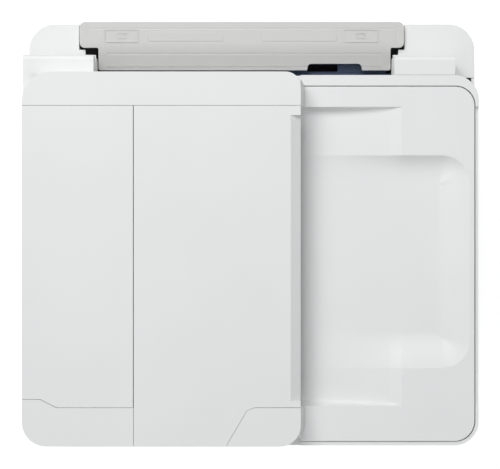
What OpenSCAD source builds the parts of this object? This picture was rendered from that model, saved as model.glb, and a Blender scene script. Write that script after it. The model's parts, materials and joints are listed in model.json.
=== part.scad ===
// Compact all-in-one inkjet printer with an automatic document feeder.
// X runs along the front, Y runs from the front to the rear, Z is up, in millimetres.
// The origin is on the table, under the middle of the printer.

/* [Overall] */
// Width of the housing
body_w = 376; // [366:1:400]
// Depth of the scanner unit, from its front to its rear wall
scan_d = 306.5; // [302:0.5:330]
// Depth of the deck behind the scanner unit
deck_d = 45.8; // [44:0.1:52]
// How far the rear tray cover stands out behind the deck
cover_lip = 1.7; // [0.5:0.1:3]
// Height of the lower housing, with its feet
base_h = 122; // [120:1:130]
// Height of the scanner unit
scan_h = 32; // [31:0.5:38]
// Height of the document cover, above the scanner unit
lid_h = 13; // [12:0.5:18]
// Height of the document feeder, above the document cover
adf_h = 26; // [25:0.5:34]

/* [Housing] */
// Wall of the plastic housings
wall = 2.6; // [2:0.1:3]
// Radius of the housing's upright corners
corner_r = 22; // [14:1:26]
// Seam between parts that lie side by side
seam = 0.6; // [0.4:0.1:0.9]
// Clearance between parts that seat on each other
seat = 0.3; // [0.2:0.05:0.4]
// Radial clearance of a shaft or pin in its bore
run_gap = 0.05; // [0.02:0.01:0.09]
// Height of a rubber foot
foot_h = 3; // [2:0.5:5]
// Diameter of a rubber foot
foot_d = 16; // [10:1:20]

/* [Document feeder] */
// Width of the document feeder, from its left side to its right wall
adf_w = 227.5; // [220:0.5:240]
// Width of the feeder cover
feeder_w = 91; // [84:1:96]
// Depth of the fixed strip behind the feeder cover and the document tray
adf_rear_d = 27.5; // [24:0.5:34]
// Thickness of the feeder cover and the document tray
skin = 2.4; // [2:0.1:3]
// How far the feeder's right wall flares out at its foot
flare = 4; // [2:0.1:6]
// Height of the side walls of the feeder cover
feeder_wall_h = 20; // [16:0.5:21]
// Paper width between the document guides when they are shut in
doc_width = 105; // [90:1:120]
// Travel of each document guide
doc_travel = 55; // [40:1:58]

/* [Output recess] */
// Depth of the recess where originals come out
recess_t = 7.6; // [5:0.1:8]
// Width of the recess's ramp
ramp_w = 84; // [60:1:100]
// Depth of the hand scoop
scoop_t = 6.6; // [4:0.1:7]
// Length of the hand scoop, along Y
scoop_l = 176; // [120:1:190]
// Radius of the hand scoop's corners
scoop_r = 20; // [10:1:26]

/* [Scanner] */
// Length of the flatbed glass
glass_l = 300; // [296:1:304]
// Width of the flatbed glass
glass_w = 218; // [214:1:226]
// Thickness of the glass
glass_t = 2.8; // [2:0.1:3]
// Width of the narrow glass that the feeder scans through
strip_w = 16; // [12:1:18]
// Radius of the hinge pins
pin_r = 2.5; // [2:0.1:3]
// Radius of the document cover's hinge barrels
barrel_r = 6.8; // [6:0.1:7]

/* [Rear tray] */
// Width of the rear tray cover at its hinge
cover_w = 273.4; // [268:0.1:278]
// Depth of the rear tray cover
cover_d = 40.7; // [38:0.1:42]
// Thickness of the rear tray cover
cover_t = 3.6; // [3:0.1:4.5]
// Depth of the flap over the feed slot
flap_d = 17; // [12:0.5:19]

/* [Paper cassette] */
// Width of the cassette
cassette_w = 252; // [240:1:258]
// Height of the cassette
cassette_h = 34; // [28:1:36]
// Paper width between the cassette's guides
cassette_paper_w = 216; // [200:1:218]
// Travel of each cassette side guide
cassette_guide_travel = 50; // [30:1:60]

/* [Output] */
// Width of the output tray
output_w = 226; // [216:1:232]
// Thickness of the output tray
output_t = 5; // [4:0.5:6]
// Distance that the output tray pulls out
output_travel = 105; // [80:1:115]
// Distance that the tray's extension pulls out
extension_travel = 60; // [40:1:70]

/* [Operation panel] */
// Width of the operation panel
panel_w = 300; // [280:1:312]
// Height of the operation panel
panel_h = 34; // [30:1:36]
// Depth of the operation panel
panel_t = 12; // [9:1:14]
// Width of the display
display_w = 46; // [36:1:60]
// Diameter of the round buttons
button_d = 11; // [8:0.5:13]
// Travel of a button
button_travel = 0.8; // [0.5:0.1:1]

/* [Print mechanism] */
// Width of the print carriage
carriage_w = 62; // [56:1:66]
// Radius of the carriage rail
rail_r = 4; // [3:0.1:5]
// Radius of the paper feed roller
feed_r = 6.5; // [5:0.1:6.8]
// Radius of the eject roller
eject_r = 5.5; // [4.5:0.1:6]
// Radius of the pinch rollers
pinch_r = 3.6; // [3:0.1:4]
// Radius of the belt pulleys
pulley_r = 6; // [5:0.1:7]
// Teeth on the feed and eject gears
gear_teeth = 24; // [20:4:28]
// Size of a gear tooth: pitch diameter over number of teeth
gear_module = 1; // [0.9:0.05:1.05]

/* [Hidden] */
$fn = 48;
hw = body_w / 2;                                // half of the width
yf = -(scan_d + deck_d + cover_lip) / 2;        // front of the scanner unit
ys = yf + scan_d;                               // rear of the scanner unit
yr = ys + deck_d;                               // rear of the lower housing
yb = yf + 5;                                    // front of the lower housing
zb = base_h;                                    // top of the lower housing
z0 = zb + seam;                                 // underside of the scanner unit
zs = zb + scan_h + 1;                           // top of the scanner unit
z1 = zs + seam;                                 // underside of the document cover
zl = zs + lid_h;                                // top of the document cover
za = zl + adf_h;                                // top of the document feeder
hinge_y = ys + 8.5;                             // both hinges are in the blocks behind the scanner
base_pin_z = zb + 9;                            // pin that the scanner unit turns on
lid_pin_z = zs + 1;                             // pin that the document cover turns on
block_y = ys + 16;                              // rear of the hinge blocks
block_l = [-hw, -hw + 58];                      // left hinge block, along X
block_r = [hw - 70.3, hw - 20];                 // right hinge block, along X
bracket_t = 10;                                 // hinge bracket, along X
adf_x0 = -hw + 0.4;                             // left side of the document feeder
adf_x1 = adf_x0 + adf_w;                        // right wall of the document feeder
adf_y1 = ys + 1.2;                              // rear of the document feeder
adf_yf = yf + 1.9;                              // front of the document feeder
cover_y1 = adf_y1 - adf_rear_d;                 // rear edge of the feeder cover and document tray
feeder_x1 = adf_x0 + feeder_w;                  // seam between the feeder cover and the tray
corner_y = yf + 33.5;                           // seams of the feeder's fixed front corners
bed_z = za - 15;                                // bed that the originals lie on
lid_floor = z1 + 3;                             // top of the document cover's bottom plate
panel_y1 = ys - 9.5;                            // rear seam of the lid's top panel
panel_x1 = hw - 3.7;                            // right seam of the lid's top panel
panel_y0 = yf + 4.1;                            // front seam of the lid's top panel

deck_t = 3;                                     // thickness of the rear deck
mid_z = 46;                                     // top of the floor between the cassette and the output tray
mid_t = 2.4;                                    // its thickness
floor_z = foot_h + wall;                        // top of the bottom wall
rail_top = mid_z - mid_t;                       // top of the cassette's side rails
bay_w = cassette_w / 2 + seam;                  // half width of the cassette bay
cover_x = -8.4;                                 // middle of the rear tray cover
cover_pin_y = yr - 7.3;                         // hinge of the rear tray cover
cover_pin_z = zb - 3;
cover_z = zb + 0.4;                             // underside of the rear tray cover
recess_z = zb - 16.5;                           // floor of the recess that the cover turns in
flap_y = ys + 4;                                // hinge of the feed slot flap
flap_z = zb - 6;
cover_front_x = [block_l[1] + 0.8, block_r[0] - 0.8]; // rear tray cover, between the hinge blocks
slot_x = [block_l[1] - 1.5, block_r[0] + 1.3];  // feed slot, along X
flap_x = [cover_front_x[0] + 3.3, cover_front_x[1] - 3.3];
guide_x = (slot_x[1] - slot_x[0]) / 2 - 17.25;   // rear paper guides at rest, from the cover's middle
feed_y = ys - 67.5;                             // paper feed roller
feed_z = zb - 46;
idler_teeth = 30;
gear_span = gear_module * (gear_teeth + idler_teeth) / 2;
idler_y = feed_y - gear_span;                   // idler gear
eject_y = feed_y - 2 * gear_span;               // eject roller
platen_z = feed_z + 4.4;                        // top of the platen
rail_y = feed_y + 12;                           // carriage rail
rail_z = zb - 16;
frame_x = [-hw + 33, hw - 23];                  // main frame, outside its side plates
home_x = frame_x[1] - carriage_w / 2 - 4;       // the carriage's home, over the purge unit
frame_t = 1.6;                                  // sheet metal of the main frame
frame_y1 = rail_y + 24;                         // rear plate of the main frame
carriage_y = [eject_y + 8, feed_y - 8];         // the carriage's ink well, along Y
carriage_z = platen_z + 3;                      // underside of the carriage
belt_t = 1;
belt_h = 5;
belt_y = rail_y + rail_r + 3.2 + pulley_r + belt_t;
belt_z = rail_z + 2;
pulley_x = [frame_x[0] + 11, frame_x[1] - 11];
gear_x = frame_x[0] - 9;                        // gears, outside the frame's left plate
gear_t = 5;
pinion_teeth = 12;
motor_y = feed_y + gear_module * (gear_teeth + pinion_teeth) / 2;
pick_y = ys - 17.5;                             // rear pickup roller
pick_z = zb - 24;
pick_r = 11.5;
low_pick_y = ys - 30;                           // cassette pickup roller
low_pick_z = floor_z + 29;
low_pick_r = 8.5;
output_z = mid_z + seat;                        // underside of the output tray
output_l = output_travel + 43;                  // its length
panel_z1 = zb - 2.5;                            // top of the operation panel
panel_pin_y = yb + 5;
panel_pin_z = panel_z1 - 3.5;
button_x = [34 - panel_w / 2, panel_w / 2 - 34]; // power button and start button
jam_w = 196;                                    // rear jam cover
jam_z = [20, 98];
glass_y = (yf + ys) / 2;                        // middle of both panes
strip_x = [-hw + 14, -hw + 14 + strip_w];       // feeder's scanning glass
bed_x = [150 - glass_l, 150];                   // flatbed glass
frame_h = 5;                                    // height of the scanner's top frame
glass_top = zs - 1.5;
scan_rail_z = z0 + 9;
scan_rail_r = 3;
scan_home = (strip_x[0] + strip_x[1]) / 2;      // the scan head rests under the feeder's glass
guide_y = doc_width / 2 + doc_travel;           // document guides when wide open
feeder_pin = [adf_x0 + 5, za - feeder_wall_h + 4]; // hinge of the feeder cover, in X and Z
tray_pin = [adf_x1 - 3.5, za - 3.5];            // hinge of the document tray, in X and Z
adf_pick = [feeder_x1 - 13, bed_z + 5];       // feeder's pickup roller, in X and Z
adf_exit = [feeder_x1 - 34, lid_floor + 8];     // feeder's exit roller
cheek_y = glass_w / 2 + 7;                      // cheeks that carry the feeder's rollers, from glass_y
cassette_y = [yb, ys - 2];                      // cassette, along Y
cassette_z = floor_z + seat;                    // underside of the cassette
lid_x = [-hw + 0.4, hw - 0.6];                  // document cover
lid_y = [yf + 0.6, ys];
exit_y = [glass_y - 114, glass_y + 112];        // slot where originals come out

// A corner of a plan that is cut away outside its radius.
module corner_cut(x, y, sx, sy, r) {
  difference() {
    translate([min(x - sx, x + sx * r), min(y - sy, y + sy * r)]) square(r + 1);
    translate([x + sx * r, y + sy * r]) circle(r);
  }
}

// A rectangle with its own radius at each corner: front left, front right, rear right, rear left.
module plan(x, y, r) {
  rr = is_list(r) ? r : [r, r, r, r];
  difference() {
    translate([x[0], y[0]]) square([x[1] - x[0], y[1] - y[0]]);
    if (rr[0] > 0) corner_cut(x[0], y[0], 1, 1, rr[0]);
    if (rr[1] > 0) corner_cut(x[1], y[0], -1, 1, rr[1]);
    if (rr[2] > 0) corner_cut(x[1], y[1], -1, -1, rr[2]);
    if (rr[3] > 0) corner_cut(x[0], y[1], 1, -1, rr[3]);
  }
}

// A block from its limits along X, Y and Z, with round upright edges.
module block(x, y, z, r = 0) {
  translate([0, 0, z[0]]) linear_extrude(z[1] - z[0]) plan(x, y, r);
}

// A round bar along X.
module bar_x(x, y, z, r) {
  translate([x[0], y, z]) rotate([0, 90, 0]) cylinder(h = x[1] - x[0], r = r);
}

// A round bar along Y.
module bar_y(x, y, z, r) {
  translate([x, y[0], z]) rotate([-90, 0, 0]) cylinder(h = y[1] - y[0], r = r);
}

// A profile drawn in Y and Z, drawn out along X.
module along_x(x) {
  translate([x[0], 0, 0]) rotate([90, 0, 90]) linear_extrude(x[1] - x[0]) children();
}

// A profile drawn in X and Z, drawn out along Y.
module along_y(y) {
  translate([0, y[1], 0]) rotate([90, 0, 0]) linear_extrude(y[1] - y[0]) children();
}

// A spur gear about its own axis, with thin teeth so that the mesh runs free.
module gear(teeth, width, bore) {
  pitch = gear_module * teeth / 2;
  root = pitch - 1.1 * gear_module;
  tip = pitch + 0.7 * gear_module;
  difference() {
    linear_extrude(width) union() {
      circle(root);
      for (i = [0:teeth - 1]) rotate(i * 360 / teeth)
        polygon([[root - 0.3, -0.95 * gear_module], [tip, -0.3 * gear_module],
                 [tip, 0.3 * gear_module], [root - 0.3, 0.95 * gear_module]]);
    }
    if (bore > 0) translate([0, 0, -1]) cylinder(h = width + 2, r = bore);
  }
}

// A gear on an axle along X, with its left face at x.
module gear_on_x(x, y, z, teeth, width, bore, turn = 0) {
  translate([x, y, z]) rotate([0, 90, 0]) rotate(turn) gear(teeth, width, bore);
}

// Slots cut through a wall in a row along Y, as cooling vents.
module side_vents(x, y, z, count, pitch) {
  for (i = [0:count - 1]) block([x[0], x[1]], [y + i * pitch, y + i * pitch + 3], z);
}

// ---- Lower housing -------------------------------------------------------

module base_case() {
  color("whitesmoke") {
    difference() {
      block([-hw, hw], [yb, yr], [foot_h, zb], corner_r);
      block([-hw + wall, hw - wall], [yb + wall, yr - wall], [floor_z, zb + 1], corner_r - wall);
      block([-hw - 1, hw + 1], [ys + seat, yr + 1], [zb - deck_t, zb + 1]);
      block([-bay_w, bay_w], [yb - 1, yb + wall + 1], [floor_z, rail_top]);
      block([-output_w / 2 - seam, output_w / 2 + seam], [yb - 1, yb + wall + 1], [mid_z - 1, mid_z + 33]);
      block([-panel_w / 2 - seam, panel_w / 2 + seam], [yb - 1, yb + wall + 1],
            [panel_z1 - panel_h - 2 * seam, zb + 1]);
      block([-jam_w / 2 - seam, jam_w / 2 + seam], [yr - wall - 1, yr + 1],
          [jam_z[0] - 1.6, jam_z[1] + seam]);
      block([cover_x - cover_w / 2 - 1, cover_x + cover_w / 2 + 1], [yr - wall - 1, yr + 1],
            [recess_z - mid_t, zb + 1]);
      side_vents([-hw - 1, -hw + wall + 1], 40, [24, 40], 9, 7);
      block([-hw + 26, -hw + 50], [yr - wall - 1, yr + 1], [22, 42]);
      block([hw - 44, hw - 30], [yr - wall - 1, yr + 1], [26, 38]);
    }
    for (s = [-1, 1]) {
      block(s > 0 ? [bay_w, bay_w + wall] : [-bay_w - wall, -bay_w], [yb + wall / 2, ys - 6],
          [floor_z - wall / 2, rail_top]);
      block(s > 0 ? [hw - wall - 4, hw - wall / 2] : [-hw + wall / 2, -hw + wall + 4],
            [yb + corner_r, yr - corner_r], [rail_top - 3, rail_top]);
    }
  }
}

module rear_deck() {
  recess = [cover_x - cover_w / 2 - seam, cover_x + cover_w / 2 + seam];
  color("whitesmoke") difference() {
    union() {
      block([-hw, hw], [ys + 2 * seat, yr], [zb - deck_t, zb], [0, 0, corner_r, corner_r]);
      for (x = [[recess[0] - 4, recess[0]], [recess[1], recess[1] + 4]])
        block(x, [cover_pin_y - 6, yr - wall - seat], [recess_z, zb - deck_t]);
      for (x = [[slot_x[0] - 2.7, slot_x[0]], [slot_x[1], slot_x[1] + 2.7]])
        block(x, [flap_y - 3, flap_y + 3], [flap_z - 3, zb - deck_t]);
    }
    block(slot_x, [flap_y - 2.5, yr + 1], [zb - deck_t - 1, zb + 1]);
    block(recess, [yr - 21.5, yr + 1], [zb - deck_t - 1, zb + 1]);
    bar_x([recess[0] - 5, recess[1] + 5], cover_pin_y, cover_pin_z, 1.8 + run_gap);
    bar_x([slot_x[0] - 4, slot_x[1] + 4], flap_y, flap_z, 1 + run_gap);
  }
}

module rubber_feet() {
  color("dimgray") for (x = [-hw + 34, hw - 34]) for (y = [yb + 34, yr - 34]) {
    translate([x, y, 0]) cylinder(h = 1, r1 = foot_d / 2 - 0.8, r2 = foot_d / 2);
    translate([x, y, 1]) cylinder(h = foot_h - 1, r = foot_d / 2);
  }
}

// Sheet metal: two side plates and a cross plate behind the carriage.
module main_frame() {
  color("silver") difference() {
    union() {
      for (x = [[frame_x[0], frame_x[0] + frame_t], [frame_x[1] - frame_t, frame_x[1]]])
        along_x(x) polygon([[eject_y - 12, mid_z], [frame_y1, mid_z], [frame_y1, rail_z + 10],
                            [rail_y - 12, rail_z + 10], [feed_y - 4, feed_z + 18],
                            [eject_y - 12, feed_z + 14]]);
      block(frame_x, [frame_y1 - frame_t, frame_y1], [feed_z + 13, rail_z + 10]);
      block(frame_x, [frame_y1 - 16, frame_y1], [belt_z - belt_h / 2 - 2.8, belt_z - belt_h / 2 - 1.2]);
      bar_x([gear_x - 1, frame_x[0]], idler_y, feed_z, 2);
    }
    bar_x([frame_x[0] - 1, frame_x[0] + frame_t + 1], motor_y, feed_z, 3);
    bar_x([frame_x[0] - 1, frame_x[1] + 1], feed_y, feed_z, 3 + run_gap);
    bar_x([frame_x[0] - 1, frame_x[1] + 1], eject_y, feed_z, 2.5 + run_gap);
    bar_x([frame_x[0] - 1, frame_x[1] + 1], feed_y, feed_z + feed_r + pinch_r + seat, 1.5 + run_gap);
    for (x = pulley_x) translate([x, belt_y, belt_z - 12]) cylinder(h = 24, r = 1.5 + run_gap);
    for (i = [-2:2]) block([i * 50 + 5 - 9, i * 50 + 5 + 9], [frame_y1 - 3, frame_y1 + 1],
                           [feed_z + 15, feed_z + 24]);
  }
}

module carriage_rail() {
  color("silver") bar_x([frame_x[0] + frame_t, frame_x[1] - frame_t], rail_y, rail_z, rail_r);
}

// Ribbed plate under the print head, with side legs down to the output deck.
module platen() {
  x = [frame_x[0] + frame_t + seat, home_x - carriage_w / 2 - 2];
  y = [eject_y + eject_r + 2, feed_y - feed_r - 2];
  color("#2b2b2d") {
    block(x, y, [platen_z - 4.5, platen_z - 1.5]);
    for (i = [0:floor((x[1] - x[0] - 12) / 10)])
        block([x[0] + 6 + i * 10, x[0] + 7.6 + i * 10], [y[0] + 2, y[1] - 2],
                           [platen_z - 1.5, platen_z]);
    for (e = [[x[0], x[0] + 3], [x[1] - 3, x[1]]]) block(e, y, [mid_z, platen_z - 4.5]);
  }
}

module belt_loop(r) {
  for (x = pulley_x) translate([x, belt_y]) circle(r);
  translate([pulley_x[0], belt_y - r]) square([pulley_x[1] - pulley_x[0], 2 * r]);
}

module timing_belt() {
  color("#1d1d1f") translate([0, 0, belt_z - belt_h / 2]) linear_extrude(belt_h) difference() {
    belt_loop(pulley_r + belt_t + 0.1);
    belt_loop(pulley_r + 0.1);
  }
}

// The motor under the belt's right pulley, and the flat paper feed motor on the frame's left plate.
module drive_motors() {
  top = belt_z - belt_h / 2 - 2.8;
  color("#8c8f93") {
    difference() {
      translate([pulley_x[1], belt_y, top - 28]) cylinder(h = 28, r = 7.2);
      translate([pulley_x[1], belt_y, top - 12]) cylinder(h = 13, r = 1.5 + run_gap);
    }
    difference() {
      bar_x([frame_x[0] + frame_t, frame_x[0] + frame_t + 12], motor_y, feed_z, 11.5);
      bar_x([frame_x[0], frame_x[0] + frame_t + 9], motor_y, feed_z, 1.5 + run_gap);
    }
  }
}

// Caps and wiper that the carriage parks over.
module purge_unit() {
  x = [home_x - carriage_w / 2 + 2, home_x + carriage_w / 2 - 2];
  y = [carriage_y[0] + 2, carriage_y[1] - 2];
  color("#3a3b3e") difference() {
    union() {
      block(x, y, [mid_z, platen_z - 4], 2);
      for (c = [-14, 12]) block([home_x + c - 9, home_x + c + 9], [y[0] + 4, y[1] - 4],
                                [platen_z - 4, platen_z + 1.5], 2);
      block([x[0] + 1, x[0] + 3], y, [platen_z - 4, platen_z + 1]);
    }
    for (c = [-14, 12]) block([home_x + c - 7, home_x + c + 7], [y[0] + 6, y[1] - 6],
                              [platen_z - 2, platen_z + 3], 1.5);
  }
}

module power_supply() {
  color("#2f3033") difference() {
    block([-hw + wall + 5, -bay_w - wall - 3], [20, yr - wall - 22], [floor_z, rail_top - 4], 2);
    for (i = [0:9]) block([-hw + wall + 12, -bay_w - wall - 10], [34 + i * 9, 38 + i * 9],
                          [rail_top - 7, rail_top - 3]);
  }
}

module logic_board() {
  x = (bay_w + hw) / 2 - 14;
  color("#2e7d4f") block([x, x + 1.6], [-40, 120], [floor_z, rail_top - 2]);
  color("#202124") {
    block([x + 1.6, x + 4], [20, 44], [floor_z + 8, floor_z + 26]);
    block([x + 1.6, x + 3.4], [60, 78], [floor_z + 8, floor_z + 20]);
    for (i = [0:2]) block([x + 1.6, x + 10], [-30 + i * 14, -20 + i * 14], [floor_z + 6, floor_z + 16]);
  }
}

// Mains inlet and data socket, in the openings of the rear wall.
module rear_sockets() {
  color("#1c1c1e") {
    difference() {
      block([-hw + 26 + seat, -hw + 50 - seat], [yr - 20, yr - 0.6], [22 + seat, 42 - seat]);
      block([-hw + 29, -hw + 47], [yr - 14, yr + 1], [25, 39], 3);
    }
    for (x = [-hw + 34, -hw + 42]) bar_y(x, [yr - 14.5, yr - 5], 32, 1.2);
    difference() {
      block([hw - 44 + seat, hw - 30 - seat], [yr - 16, yr - 0.6], [26 + seat, 38 - seat]);
      block([hw - 42, hw - 32], [yr - 12, yr + 1], [28, 36]);
    }
    block([hw - 39, hw - 35], [yr - 12.5, yr - 4], [31, 33.4]);
  }
}

// Floor between the cassette and the output tray, which carries the print mechanism.
module output_deck() {
  color("#d9dadb") difference() {
    block([-hw + wall + seat, hw - wall - seat], [yb + wall + seat, yr - wall - seat],
          [mid_z - mid_t, mid_z], corner_r - wall);
    block([-100, 100], [ys - 14, yr], [mid_z - mid_t - 1, mid_z + 1]);
    block([-34, 34], [low_pick_y - 14, low_pick_y + 14], [mid_z - mid_t - 1, mid_z + 1]);
  }
  color("#d9dadb") for (s = [-1, 1]) difference() {
    block(s > 0 ? [31, 34] : [-34, -31], [low_pick_y - 5, low_pick_y + 5], [low_pick_z - 5, mid_z]);
    bar_x([-35, 35], low_pick_y, low_pick_z, 2 + run_gap);
  }
}

// Sloping bed behind the carriage, down which paper slides from the rear tray.
module rear_feed_frame() {
  x = [slot_x[0] - 6, slot_x[1] + 6];
  color("#3c3e42") {
    along_x(x) polygon([[yr - 24, recess_z - mid_t], [yr - 24, recess_z], [ys - 10, feed_z + 8],
                        [feed_y + 12, feed_z + 5], [feed_y + 12, feed_z + 2.6], [ys - 9, feed_z + 5]]);
    block([cover_x - cover_w / 2 - 0.8, cover_x + cover_w / 2 + 0.8], [yr - 24, yr],
          [recess_z - mid_t, recess_z]);
    difference() {
      for (e = [[x[0], x[0] + 3], [x[1] - 3, x[1]]])
        along_x(e) polygon([[pick_y - 8, mid_z], [ys + 16, mid_z], [ys + 16, recess_z],
                            [ys + 5, zb - deck_t - seat], [pick_y - 8, zb - deck_t - seat]]);
      bar_x([x[0] - 1, x[1] + 1], pick_y, pick_z, 2.5 + run_gap);
    }
  }
}

module hinge_bracket(x) {
  color("#8c8f93") difference() {
    along_x([x - bracket_t / 2, x + bracket_t / 2]) {
      translate([hinge_y, base_pin_z]) circle(6);
      translate([hinge_y - 6, zb]) square([12, base_pin_z - zb]);
    }
    bar_x([x - bracket_t, x + bracket_t], hinge_y, base_pin_z, pin_r + run_gap);
  }
}

module hinge_brackets() {
  for (b = [block_l, block_r]) hinge_bracket((b[0] + b[1]) / 2);
}

// ---- Print mechanism -----------------------------------------------------

// A toothed pulley on an upright shaft that turns in the frame's shelf.
module pulley(x, below) {
  color("#e6e6e6") {
    difference() {
      translate([x, belt_y, belt_z - belt_h / 2]) cylinder(h = belt_h, r = pulley_r);
      for (i = [0:2]) translate([x, belt_y, belt_z]) rotate(i * 120) translate([pulley_r * 0.6, 0, 0])
        cylinder(h = belt_h, r = 1);
    }
    translate([x, belt_y, belt_z - belt_h / 2 - below]) cylinder(h = below + 1, r = 1.5);
    translate([x, belt_y, belt_z - belt_h / 2 - 0.9]) cylinder(h = 0.9, r = 3);
  }
}

module motor_pulley() { pulley(pulley_x[1], 12); }

module idler_pulley() { pulley(pulley_x[0], 5); }

module motor_pinion() {
  color("#c9a24a") difference() {
    gear_on_x(gear_x, motor_y, feed_z, pinion_teeth, gear_t, 0, 180 / pinion_teeth);
    bar_x([gear_x - 1, gear_x + 1.5], motor_y, feed_z, 1);
  }
  color("#c9a24a") bar_x([gear_x + gear_t, frame_x[0] + frame_t + 8], motor_y, feed_z, 1.5);
}

// A well for the two cartridges, and an arm behind it that runs on the rail.
module print_carriage() {
  x = [home_x - carriage_w / 2, home_x + carriage_w / 2];
  y = carriage_y;
  arm_z = [rail_z - rail_r - 3, rail_z + rail_r + 3];
  arm_y = [rail_y - rail_r - 3, rail_y + rail_r + 2.5];
  color("#26272a") difference() {
    union() {
      block(x, y, [carriage_z, zb - 4], 2);
      block(x, [y[1] - 2, arm_y[1]], arm_z);
      block([home_x - 7, home_x + 7], [arm_y[1], belt_y - pulley_r - belt_t - seat],
          [belt_z - 2, belt_z + 2]);
    }
    for (s = [0, 1]) block([x[0] + 2 + s * (carriage_w / 2 - 1), x[0] + carriage_w / 2 - 1 + s * (carriage_w / 2 - 1)],
                           [y[0] + 2, y[1] - 2], [carriage_z + 2, zb]);
    bar_x([x[0] - 1, x[1] + 1], rail_y, rail_z, rail_r + run_gap);
    block([x[0] + 3, x[1] - 3], [y[0] - 1, y[0] + 3], [zb - 12, zb]);
    block([x[0] + 14, x[1] - 14], [y[1] + 2, arm_y[0]], [arm_z[0] - 1, arm_z[1] + 1]);
  }
}

// Two cartridges side by side: a black one and a three-colour one.
module ink_cartridges() {
  x0 = home_x - carriage_w / 2;
  w = carriage_w / 2 - 3;
  for (s = [0, 1]) {
    x = [x0 + 2 + seat + s * (carriage_w / 2 - 1), x0 + 2 + w - seat + s * (carriage_w / 2 - 1)];
    color(s == 0 ? "#1a1a1c" : "#54555a") difference() {
      union() {
        block(x, [carriage_y[0] + 2 + seat, carriage_y[1] - 2 - seat], [carriage_z + 2 + seat, zb - 6], 1.5);
        block([x[0] + 6, x[1] - 6], [carriage_y[0] + 4, carriage_y[0] + 9], [zb - 6, zb - 3.5], 1);
      }
      block([x[0] + 4, x[1] - 4], [carriage_y[0] + 12, carriage_y[1] - 5], [zb - 7, zb - 5], 1);
    }
  }
}

module feed_roller() {
  color("#6b6e72") {
    bar_x([gear_x + gear_t - 0.5, frame_x[1] + 2], feed_y, feed_z, 3);
    gear_on_x(gear_x, feed_y, feed_z, gear_teeth, gear_t, 0);
  }
  color("#3a3b3e") bar_x([slot_x[0] + 12, slot_x[1] - 12], feed_y, feed_z, feed_r);
}

// Pinch rollers on one thin shaft over the feed roller.
module pinch_roller() {
  z = feed_z + feed_r + pinch_r + seat;
  color("#c8cacc") bar_x([frame_x[0] - 2, frame_x[1] + 2], feed_y, z, 1.5);
  color("#2f3033") for (i = [0:5]) bar_x([slot_x[0] + 20 + i * 38, slot_x[0] + 36 + i * 38],
      feed_y, z, pinch_r);
}

module idler_gear() {
  color("#e9e9ea") difference() {
    gear_on_x(gear_x, idler_y, feed_z, idler_teeth, gear_t, 2 + run_gap);
    for (i = [0:5]) translate([gear_x - 1, idler_y, feed_z]) rotate([0, 90, 0]) rotate(i * 60)
      translate([gear_module * idler_teeth * 0.3, 0, 0]) cylinder(h = gear_t + 2, r = 2.6);
  }
}

// Shaft with rubber rings that carries the page out.
module eject_roller() {
  color("#6b6e72") {
    bar_x([gear_x + gear_t - 0.5, frame_x[1] + 2], eject_y, feed_z, 2.5);
    gear_on_x(gear_x, eject_y, feed_z, gear_teeth, gear_t, 0);
  }
  color("#2b2b2d") for (i = [0:7])
    bar_x([slot_x[0] + 20 + i * 28, slot_x[0] + 34 + i * 28], eject_y, feed_z, eject_r);
}

module rear_pickup_roller() {
  x = [slot_x[0] - 6, slot_x[1] + 6];
  color("#c8cacc") bar_x([x[0] - 2, x[1] + 2], pick_y, pick_z, 2.5);
  color("#4a4b4f") for (s = [-1, 1]) bar_x([cover_x + s * 17 - 11, cover_x + s * 17 + 11],
      pick_y, pick_z, pick_r);
}

// Roller over the cassette, between two cheeks that hang in the deck's opening.
module cassette_pickup_roller() {
  color("#c8cacc") bar_x([-32, 32], low_pick_y, low_pick_z, 2);
  color("#4a4b4f") for (s = [-1, 1]) bar_x([s * 12 - 9, s * 12 + 9], low_pick_y, low_pick_z, low_pick_r);
}

// ---- Paper cassette and output tray ---------------------------------------

module cassette() {
  w = cassette_w / 2;
  guide_end = cassette_paper_w / 2 - cassette_guide_travel - 28;
  y = cassette_y;
  color("whitesmoke") difference() {
    union() {
      difference() {
        block([-w, w], y, [cassette_z, cassette_z + cassette_h]);
        block([-w + 2.2, w - 2.2], [y[0] + 4, y[1] - 2.2], [cassette_z + 2.2, cassette_z + cassette_h + 1]);
        block([-w - 1, w + 1], [y[1] - 42, y[1] + 1], [cassette_z + 13, cassette_z + cassette_h + 1]);
      }
      block([-16, 16], [y[0] + 4, y[0] + 12], [cassette_z, cassette_z + 10], 2);
    }
    translate([0, y[0] - 34, cassette_z + cassette_h - 9]) cylinder(h = 20, r = 48);
    for (s = [-1, 1]) block(s > 0 ? [guide_end, w - 6] : [-w + 6, -guide_end], [7, 9],
        [cassette_z - 1, cassette_z + 3]);
    block([-3, 3], [-20, 100], [cassette_z + 1.2, cassette_z + 3]);
  }
}

// Side guide that stands on the cassette's floor: -1 is the left one, 1 the right one.
module cassette_guide(s) {
  x = s * cassette_paper_w / 2;
  z = cassette_z + 2.2 + seat;
  color("#3b4a5e") {
    block(s > 0 ? [x, x + 2] : [x - 2, x], [-50, 62], [z, z + 16]);
    block(s > 0 ? [x + 2, x + 9] : [x - 9, x - 2], [-10, 26], [z, z + 3], 1.5);
    block(s > 0 ? [x - 14, x + 0.5] : [x - 0.5, x + 14], [0, 16], [z, z + 0.8]);
  }
}

module cassette_guide_left() { cassette_guide(-1); }

module cassette_guide_right() { cassette_guide(1); }

module cassette_end_guide() {
  z = cassette_z + 2.2 + seat;
  color("#3b4a5e") {
    block([-22, 22], [-148, -146], [z, z + 14], 0);
    block([-12, 12], [-157, -148], [z, z + 4], 2);
  }
}

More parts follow.
